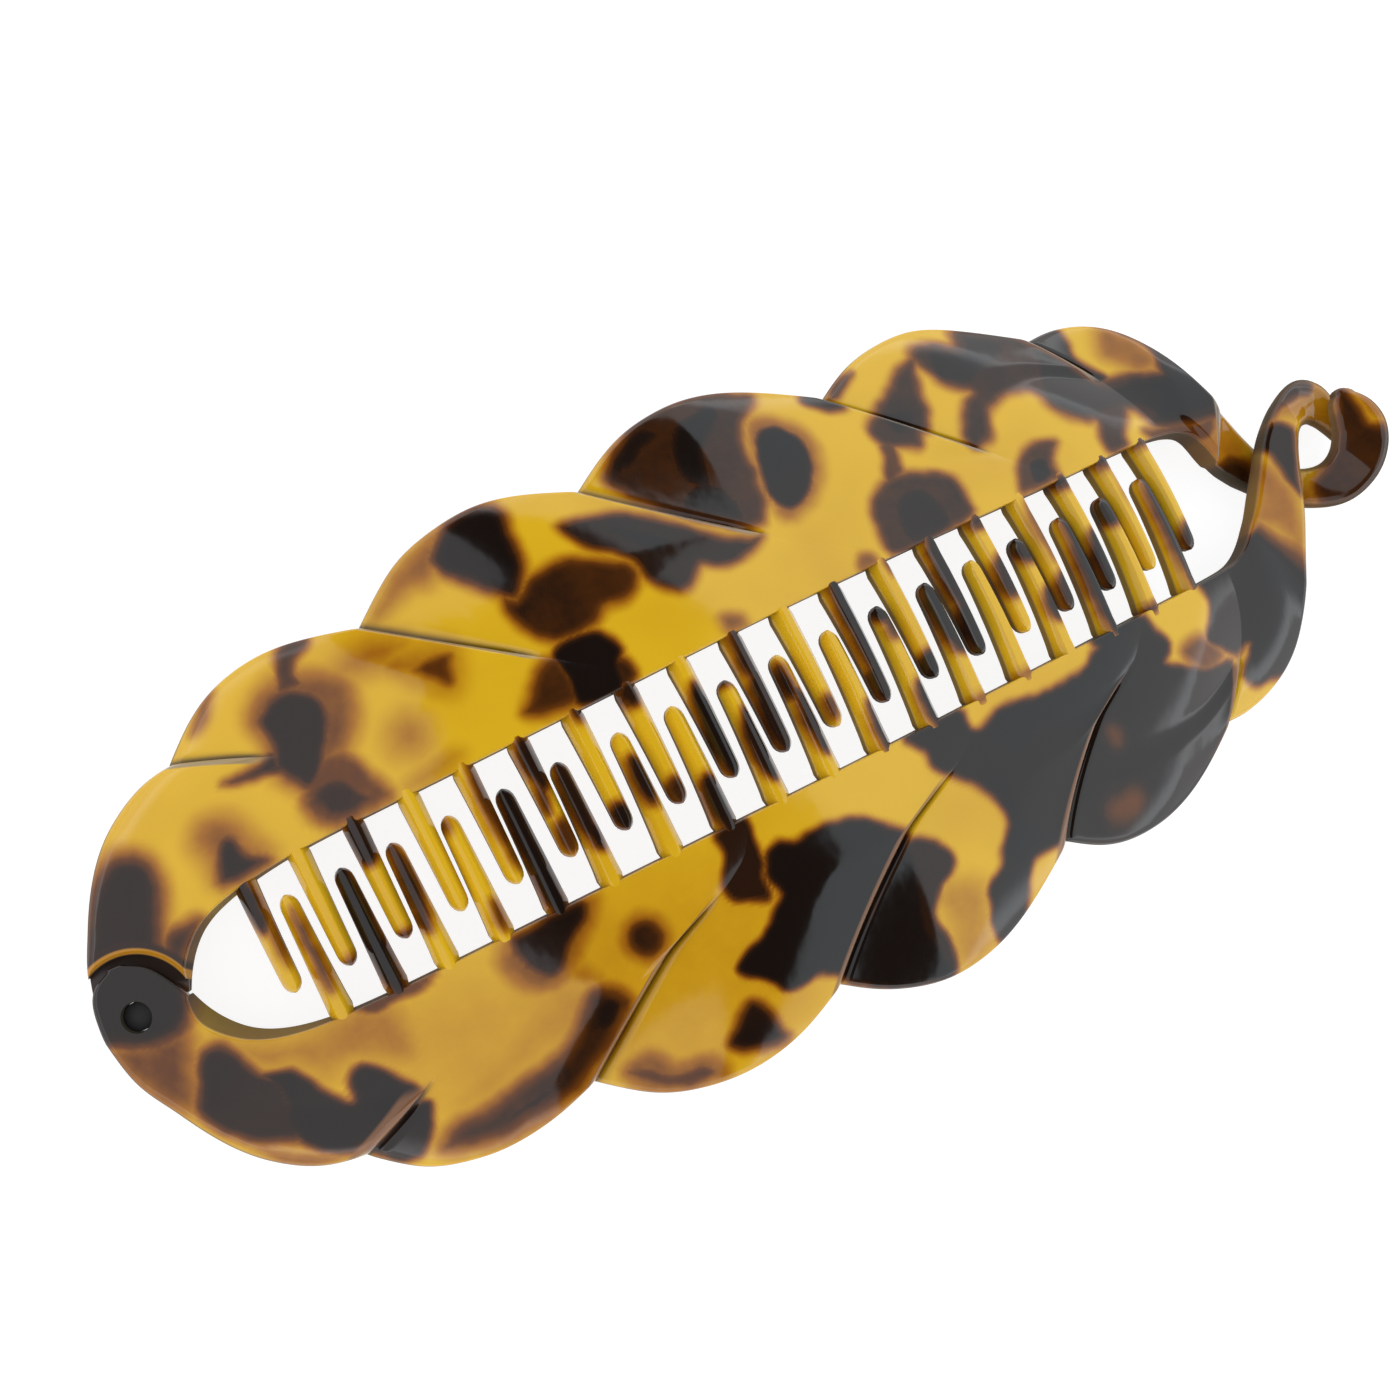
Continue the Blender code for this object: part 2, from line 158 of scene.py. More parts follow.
# Inner edge, with each groove's bow towards the clasp, its step at the rim, and the share of the width
# from the inner edge at which it ends.
UPPER_INNER = np.array([
    # u, s, y, bow, step, end
    (0.0, 5.1, 0.1, 0.0, 0.0, 0.7),
    (0.2, 6.2, 2.1, 0.3, 0.0, 0.7),
    (0.4, 8.6, 4.7, 1.0, 0.0, 0.7),
    (0.6, 12.7, 6.2, 2.4, 0.0, 0.7),
    (0.8, 18.9, 6.95, 4.2, 0.0, 0.7),
    (1.0, 27.0, 7.1, 5.6, 0.8, 0.68),
    (2.0, 54.6, 7.35, -0.2, 1.2, 0.34),
    (3.0, 80.2, 7.4, -0.7, 1.4, 0.36),
    (4.0, 101.6, 7.05, -0.1, 1.2, 0.29),
    (5.0, 115.6, 6.65, 0.9, 0.9, 0.5),
    (5.5, 118.5, 5.3, 0.5, 0.0, 0.2),
    (6.0, 119.6, 2.2, 0.0, 1.0, 0.0),
])
LOWER_INNER = np.array([
    # u, s, y, bow, step, end
    (0.0, 5.2, -0.5, 0.0, 0.0, 0.7),
    (0.2, 6.2, -2.8, 0.3, 0.0, 0.7),
    (0.4, 8.6, -5.7, 1.0, 0.0, 0.7),
    (0.6, 12.7, -7.4, 2.2, 0.0, 0.7),
    (0.8, 18.9, -7.95, 3.6, 0.0, 0.7),
    (1.0, 28.0, -7.95, 4.8, 1.1, 0.68),
    (2.0, 57.6, -7.85, -0.7, 1.3, 0.31),
    (3.0, 83.2, -7.7, -2.2, 1.4, 0.24),
    (4.0, 103.8, -7.5, -2.6, 1.2, 0.24),
    (5.0, 115.0, -7.3, 1.9, 1.0, 0.56),
    (5.5, 117.5, -6.75, 0.8, 0.0, 0.7),
    (5.75, 118.6, -6.0, 0.3, 0.0, 0.7),
    (6.0, 119.5, -5.1, 0.0, 0.0, 0.7),
])

# How far the lower half's grooves hook towards the clasp at their inner ends: rows of u and of s.
GROOVE_HOOKS = ((1.0, 2.0, 3.0, 4.0, 4.7), (0.0, 2.7, 2.2, 2.0, 0.0))

# Clasp arms, as the two edges of each arm and the lift of its top, from the shell to the hook's end.
UPPER_ARM = np.array([
    # u, outer s, outer y, inner s, inner y, lift
    (6.02, 123.3, 6.3, 119.9, 1.9, -0.9),
    (6.2, 124.4, 4.0, 120.9, 0.9, -1.9),
    (6.4, 125.6, 1.6, 122.4, -0.7, -2.75),
    (6.6, 127.1, -0.6, 124.5, -3.1, -2.85),
    (6.8, 128.9, -2.1, 127.2, -5.4, -2.75),
    (7.0, 130.6, -2.4, 131.0, -7.0, -1.8),
    (7.2, 131.7, -1.4, 134.75, -5.85, -0.8),
    (7.4, 132.3, 0.0, 136.8, -3.4, -0.2),
    (7.6, 132.6, 1.3, 137.4, -1.0, 0.0),
    (7.8, 132.9, 2.3, 136.9, 1.1, 0.0),
    (8.0, 133.5, 2.9, 135.9, 2.4, 0.0),
])
LOWER_ARM = np.array([
    # u, outer s, outer y, inner s, inner y, lift
    (6.2, 124.9, -9.2, 120.4, -4.05, 0.0),
    (6.4, 125.8, -7.0, 121.7, -2.2, 0.05),
    (6.6, 126.8, -4.2, 123.2, -0.1, 0.1),
    (6.8, 127.7, -1.6, 124.7, 1.9, 0.1),
    (7.0, 128.7, 0.5, 126.5, 3.7, 0.0),
    (7.2, 129.6, 1.5, 128.7, 5.15, -0.5),
    (7.4, 130.6, 1.7, 131.35, 6.0, -1.5),
    (7.6, 131.5, 1.3, 133.6, 5.0, -2.7),
    (7.8, 132.2, 0.3, 134.5, 2.8, -3.0),
    (8.0, 132.7, -0.8, 134.4, 0.2, -3.1),
])

# Ear of the lower half, from its far edge to the axis, at the top of the hinge.
LOWER_EAR = np.array([
    # u, outer s, outer y, inner s, inner y
    (-1.00, -0.8, 4.7, 1.0, 4.6),
    (-0.80, -2.2, 4.1, 2.5, 3.8),
    (-0.55, -3.2, 2.8, 3.7, 2.4),
    (-0.28, -3.6, 0.9, 4.6, 0.8),
])
UPPER_EAR = np.array([
    # s, y of the ear under the lower one
    (-3.3, 1.6), (-3.3, 0.2), (-3.0, -1.4), (-2.3, -2.7), (-1.1, -3.7), (0.6, -4.1), (2.2, -3.7),
    (3.5, -2.6), (4.2, -1.2), (4.5, 0.6), (4.7, 1.6), (4.2, 3.6), (1.8, 5.8), (-1.4, 5.8), (-2.6, 3.8),
])

# Comb teeth. Those of the upper half are evenly spaced, and their spacing is a setting.
LOWER_TEETH = np.array([
    # first s, spacing, count
    (16.4, 5.42, 2),
    (26.85, 5.465, 4),
    (49.38, 5.53, 12),
])
UPPER_TOOTH = np.array([
    # y, half width, top, foot
    (9.0, 0.5, -0.5, -1.7),
    (8.2, 0.7, -0.12, -1.95),
    (7.6, 0.95, 0.04, -2.2),
    (6.9, 1.08, 0.02, -2.3),
    (5.8, 1.05, -0.1, -2.25),
    (1.0, 0.95, -0.15, -2.15),
    (-3.1, 0.89, -0.22, -1.97),
    (-3.5, 0.84, -0.26, -1.94),
    (-3.85, 0.7, -0.36, -1.85),
    (-4.12, 0.48, -0.52, -1.7),
    (-4.27, 0.22, -0.75, -1.5),
])
LOWER_TOOTH = np.array([
    # y, half width, top, foot
    (-9.6, 0.5, -0.5, -1.7),
    (-8.8, 0.75, -0.12, -1.95),
    (-8.2, 1.02, 0.04, -2.2),
    (-7.5, 1.18, 0.02, -2.3),
    (-6.4, 1.12, -0.1, -2.25),
    (-1.0, 0.97, -0.15, -2.15),
    (2.9, 0.89, -0.22, -1.97),
    (3.3, 0.84, -0.26, -1.94),
    (3.65, 0.7, -0.36, -1.85),
    (3.92, 0.48, -0.52, -1.7),
    (4.07, 0.22, -0.75, -1.5),
])

# Dark clouds in the resin, each as its depth, the half width of its soft edge and its outline.
# Where the depth is negative, the clouds before it are cleared again.
UPPER_CLOUDS = (
    # depth, blur, outline as s, y
    (0.92, 0.9, ((-4.0, 3.0), (-3.0, 6.0), (-1.0, 9.5), (0.8, 12.0), (2.6, 13.3), (4.4, 13.6), (6.0, 12.8),
     (7.0, 11.2), (7.1, 9.2), (6.3, 7.6), (5.7, 6.4), (5.2, 4.8), (5.0, 3.0), (0.0, 1.0))),
    (0.78, 0.6, ((4.6, 3.6), (5.5, 5.4), (7.5, 5.8), (9.0, 5.4), (8.5, 4.6), (6.5, 2.5), (5.6, 0.6),
     (4.4, 1.0))),
    (0.45, 0.9, ((10.9, 11.5), (12.0, 12.9), (14.0, 12.9), (15.5, 11.5), (16.3, 9.5), (16.9, 7.6),
     (12.0, 7.0), (11.4, 9.5))),
    (0.93, 0.6, ((11.9, 7.0), (12.1, 8.8), (12.6, 10.2), (13.8, 11.0), (14.8, 10.2), (15.2, 8.8),
     (16.4, 7.9), (16.6, 7.0))),
    (0.62, 0.5, ((14.6, 20.4), (15.6, 21.4), (17.2, 23.0), (18.3, 23.4), (17.6, 22.0), (16.6, 20.9),
     (15.4, 20.3))),
    (0.55, 0.8, ((20.0, 19.2), (21.5, 21.0), (24.0, 21.6), (27.4, 20.6), (29.8, 18.8), (29.6, 16.4),
     (28.2, 13.8), (26.0, 12.2), (22.5, 11.0), (20.6, 12.8), (19.8, 14.8), (20.3, 17.0))),
    (0.94, 0.6, ((20.8, 18.6), (21.8, 19.8), (23.5, 20.4), (25.2, 20.1), (26.8, 19.0), (27.4, 17.5),
     (26.9, 15.6), (25.6, 13.8), (24.2, 12.4), (22.9, 11.2), (21.9, 11.6), (20.9, 13.2), (20.3, 14.6),
     (21.0, 16.5))),
    (0.62, 0.5, ((21.2, 10.0), (22.6, 12.4), (24.6, 13.8), (27.0, 13.0), (28.4, 10.2), (29.0, 7.4),
     (23.0, 7.2))),
    (0.82, 0.5, ((22.0, 10.6), (23.2, 11.6), (25.0, 11.6), (26.4, 10.6), (27.0, 9.2), (27.6, 7.9),
     (25.0, 7.4), (23.4, 7.9), (22.2, 9.4))),
    (0.85, 0.4, ((15.4, 15.2), (17.5, 15.4), (19.4, 15.4), (21.0, 16.0), (21.2, 13.6), (19.6, 14.0),
     (17.8, 14.4))),
    (0.74, 0.4, ((23.6, 20.2), (24.3, 22.0), (25.0, 23.8), (26.5, 24.4), (28.4, 23.6), (27.4, 22.7),
     (26.3, 22.2), (25.9, 21.2), (26.0, 20.0))),
    (0.3, 1.0, ((30.5, 11.0), (31.2, 13.0), (33.0, 13.8), (34.5, 12.5), (34.0, 10.6), (32.4, 9.8))),
    (0.3, 0.8, ((30.5, 8.2), (33.5, 9.0), (36.0, 8.4), (34.0, 7.2), (31.0, 7.2))),
    (0.32, 1.0, ((28.5, 19.5), (31.0, 20.8), (34.0, 21.0), (36.5, 19.4), (33.5, 18.3), (30.0, 18.6))),
    (0.35, 0.9, ((33.4, 18.0), (35.5, 19.0), (38.5, 18.2), (40.0, 17.0), (39.0, 14.0), (37.5, 13.4),
     (35.5, 15.0))),
    (0.68, 0.55, ((35.2, 16.8), (36.4, 17.4), (38.0, 17.4), (39.4, 16.9), (39.0, 15.8), (38.6, 14.4),
     (37.8, 14.0), (36.8, 14.8), (36.0, 15.8))),
    (0.46, 0.8, ((34.8, 22.6), (37.0, 23.0), (39.0, 23.4), (41.0, 23.2), (42.5, 24.6), (43.5, 26.4),
     (44.5, 27.8), (41.8, 27.2), (38.8, 25.8), (36.6, 24.4))),
    (1.0, 0.6, ((41.8, 25.2), (43.0, 26.5), (45.0, 27.6), (47.5, 28.0), (49.2, 27.4), (49.9, 26.0),
     (49.4, 24.2), (49.3, 22.6), (49.0, 21.0), (48.0, 19.6), (47.0, 18.8), (46.0, 19.4), (44.6, 20.8),
     (43.4, 22.2), (42.2, 23.4))),
    (0.78, 0.5, ((46.0, 19.6), (47.0, 18.6), (49.0, 19.9), (51.5, 20.0), (54.0, 19.4), (56.0, 18.2),
     (57.4, 17.4), (58.0, 16.0), (57.2, 14.8), (55.6, 14.2), (53.6, 14.4), (52.2, 13.6), (50.0, 13.4),
     (48.2, 13.6), (46.6, 14.8), (45.8, 16.4), (45.6, 18.2))),
    (0.9, 0.45, ((53.6, 22.8), (55.4, 22.8), (57.6, 22.3), (59.6, 21.6), (61.4, 20.4), (63.2, 19.0),
     (65.0, 17.4), (66.4, 16.0), (69.0, 14.6), (70.4, 14.2), (68.6, 13.4), (66.6, 13.0), (65.0, 13.5),
     (63.6, 14.4), (62.4, 13.4), (61.0, 12.8), (59.6, 13.6), (58.4, 15.2), (58.0, 17.0), (56.8, 18.6),
     (55.2, 19.6), (54.2, 21.0))),
    (1.0, 0.7, ((55.5, 21.8), (58.0, 21.6), (60.0, 20.6), (62.0, 19.0), (63.5, 17.4), (62.2, 16.4),
     (60.0, 16.0), (58.6, 17.6), (57.0, 19.6))),
    (1.0, 0.35, ((47.6, 13.0), (49.5, 13.4), (51.6, 13.2), (52.8, 12.0), (53.3, 10.6), (52.4, 9.2),
     (51.6, 7.2), (47.6, 7.2), (47.4, 9.0), (47.6, 10.6), (47.4, 12.0))),
    (0.8, 0.35, ((51.2, 10.0), (52.6, 10.0), (53.4, 9.0), (53.4, 7.8), (52.0, 7.2), (51.0, 7.4))),
    (0.74, 0.55, ((42.4, 9.2), (43.8, 10.4), (45.0, 11.8), (46.8, 12.6), (48.0, 12.0), (48.0, 8.0),
     (45.0, 7.9), (43.4, 8.3))),
    (0.5, 0.4, ((62.6, 8.9), (63.4, 9.3), (64.8, 8.4), (64.4, 7.4), (62.8, 7.4))),
    (0.8, 0.45, ((60.2, 24.8), (61.5, 26.2), (63.5, 27.6), (66.0, 28.8), (70.0, 29.0), (74.0, 28.2),
     (76.5, 27.0), (77.6, 26.2), (76.8, 25.2), (75.4, 24.4), (74.0, 23.2), (73.4, 21.6), (73.6, 20.0),
     (73.0, 18.6), (72.8, 17.2), (72.0, 16.0), (71.0, 15.2), (69.0, 15.4), (66.6, 17.0), (64.2, 19.0),
     (62.4, 21.2), (61.0, 23.2))),
    (1.0, 0.5, ((66.6, 23.4), (67.6, 25.4), (69.5, 27.0), (73.5, 27.4), (73.8, 25.8), (72.0, 24.6),
     (70.4, 23.4), (69.6, 21.2), (68.6, 19.6), (67.4, 20.6), (66.6, 22.0))),
    (0.97, 0.5, ((60.6, 24.4), (62.0, 26.4), (66.0, 28.2), (68.0, 26.4), (65.6, 25.6), (63.4, 24.6))),
    (0.97, 0.5, ((65.0, 19.8), (67.0, 21.4), (69.2, 20.6), (70.4, 17.6), (69.6, 15.8), (67.8, 16.8))),
    (0.45, 0.5, ((74.6, 23.4), (77.0, 24.0), (79.2, 22.2), (79.8, 19.8), (79.0, 17.2), (76.5, 14.9),
     (73.4, 14.6), (73.0, 18.0))),
    (0.97, 0.3, ((74.6, 21.8), (75.6, 22.8), (77.0, 22.9), (78.0, 22.2), (78.8, 21.0), (79.0, 19.6),
     (78.6, 17.8), (77.4, 16.4), (75.8, 15.3), (74.2, 15.1), (73.2, 16.6), (73.2, 18.2), (73.8, 20.0))),
    (0.88, 0.35, ((81.4, 23.8), (82.4, 24.6), (84.0, 23.8), (85.4, 22.2), (85.0, 21.6), (83.4, 21.8),
     (82.2, 22.6))),
    (0.76, 0.3, ((84.8, 23.2), (86.4, 24.1), (88.0, 24.5), (89.2, 24.4), (87.6, 23.4), (86.0, 22.8))),
    (0.82, 0.4, ((85.4, 18.4), (86.2, 19.6), (87.8, 20.0), (89.4, 20.8), (91.4, 21.8), (93.2, 22.8),
     (95.6, 23.2), (94.4, 21.4), (93.4, 19.8), (93.2, 18.4), (92.4, 17.2), (91.4, 16.4), (90.2, 16.3),
     (89.4, 15.2), (88.2, 15.6), (87.0, 16.2), (85.8, 16.8))),
    (0.95, 0.5, ((87.6, 19.6), (89.6, 20.0), (91.4, 19.4), (92.0, 18.0), (90.8, 17.0), (89.0, 16.6),
     (87.4, 17.0))),
    (0.7, 0.3, ((85.6, 17.2), (87.2, 16.8), (86.6, 15.2), (86.4, 14.0), (84.4, 13.6), (84.6, 15.0),
     (85.2, 16.0))),
    (0.8, 0.4, ((80.6, 7.4), (80.9, 10.4), (81.4, 12.4), (82.4, 13.4), (84.0, 14.0), (86.0, 14.1),
     (88.0, 13.4), (90.0, 12.4), (91.0, 11.2), (90.8, 9.6), (90.4, 7.4), (85.0, 7.2))),
    (0.93, 0.6, ((82.6, 7.4), (83.0, 11.4), (85.0, 12.8), (87.6, 12.2), (88.6, 10.0), (88.4, 7.4))),
    (0.5, 0.3, ((77.0, 8.2), (77.8, 8.9), (79.0, 8.4), (79.0, 7.3), (77.0, 7.3))),
    (0.82, 0.45, ((95.2, 23.4), (96.5, 24.2), (98.5, 23.6), (100.2, 22.8), (101.4, 24.2), (103.6, 23.8),
     (107.0, 21.4), (110.2, 17.6), (112.2, 14.2), (116.0, 13.4), (118.0, 12.2), (120.0, 12.6),
     (123.0, 12.0), (123.4, 6.0), (120.0, 6.0), (117.5, 6.8), (115.0, 7.6), (114.4, 8.6), (113.8, 10.2),
     (112.4, 9.4), (111.0, 8.2), (110.5, 7.0), (108.2, 7.2), (108.0, 9.0), (108.8, 10.4), (107.4, 11.2),
     (105.8, 12.6), (105.0, 14.4), (104.2, 15.6), (101.6, 16.3), (99.6, 16.0), (98.2, 15.2), (97.4, 13.8),
     (96.2, 13.2), (94.6, 13.2), (94.4, 14.6), (95.6, 16.0), (96.8, 17.4), (98.2, 18.0), (97.0, 18.8),
     (95.8, 20.0), (95.4, 21.6))),
    (0.97, 0.5, ((95.8, 21.4), (97.0, 23.6), (99.0, 22.8), (100.6, 22.2), (102.2, 23.8), (105.6, 21.4),
     (104.6, 19.8), (102.4, 19.2), (100.6, 18.9), (99.0, 18.4), (97.2, 19.2), (96.0, 20.2))),
    (0.96, 0.6, ((106.4, 17.6), (108.0, 20.2), (110.0, 17.6), (112.4, 13.8), (116.0, 13.0), (119.0, 12.2),
     (122.0, 13.6), (122.8, 7.0), (120.0, 6.4), (116.0, 7.4), (114.6, 9.6), (112.0, 10.6), (109.6, 10.4),
     (107.0, 11.4), (105.4, 13.2), (105.0, 15.2))),
    (0.74, 0.4, ((96.6, 7.2), (97.0, 9.0), (98.6, 10.6), (100.6, 11.2), (102.4, 11.0), (103.4, 10.2),
     (101.8, 9.0), (101.0, 7.2))),
    (0.94, 0.4, ((98.2, 7.4), (98.8, 9.6), (100.6, 10.0), (101.4, 9.0), (100.6, 7.4))),
    (0.42, 0.7, ((114.6, 16.2), (116.4, 18.6), (118.6, 16.6), (119.0, 13.0), (116.6, 13.0), (115.4, 14.8))),
    (0.93, 0.35, ((107.4, 20.6), (110.0, 20.9), (112.6, 20.8), (112.8, 18.6), (112.2, 17.0), (112.8, 15.4),
     (113.8, 13.8), (112.2, 13.4), (110.8, 16.4), (109.0, 19.0))),
    (0.9, 0.5, ((115.8, 20.0), (118.0, 18.8), (120.4, 16.4), (122.0, 13.0), (123.2, 7.0), (119.0, 7.0),
     (118.2, 11.8), (118.8, 14.0), (118.4, 16.0), (117.0, 18.2))),
    (0.6, 0.35, ((113.4, 8.0), (117.0, 7.4), (119.6, 6.4), (122.0, 6.4), (119.8, 4.4), (117.6, 5.4),
     (114.0, 6.4))),
    (0.3, 0.7, ((117.4, 6.0), (120.0, 6.8), (123.4, 6.6), (124.6, 2.0), (121.0, 0.0), (118.6, 2.6))),
    (0.78, 0.6, ((119.6, 1.6), (122.0, 2.2), (124.2, 0.8), (124.0, -1.6), (122.2, -2.8), (120.4, -1.0),
     (119.2, 0.6))),
    (0.4, 0.8, ((124.0, -1.6), (126.0, -2.4), (128.8, -3.4), (129.2, -6.4), (126.0, -6.0), (123.6, -3.6))),
    (0.8, 0.5, ((128.8, -6.6), (128.6, -4.0), (130.0, -3.0), (131.4, -1.6), (132.4, 0.4), (133.2, 2.2),
     (133.4, 3.6), (134.8, 3.4), (135.3, 1.0), (135.6, -1.0), (137.2, -1.6), (137.2, -4.2), (134.8, -6.2),
     (131.6, -7.2))),
    (0.36, 0.4, ((135.4, 3.0), (136.6, 2.0), (137.8, -0.4), (137.4, -1.6), (135.8, -0.8), (135.4, 1.0))),
)
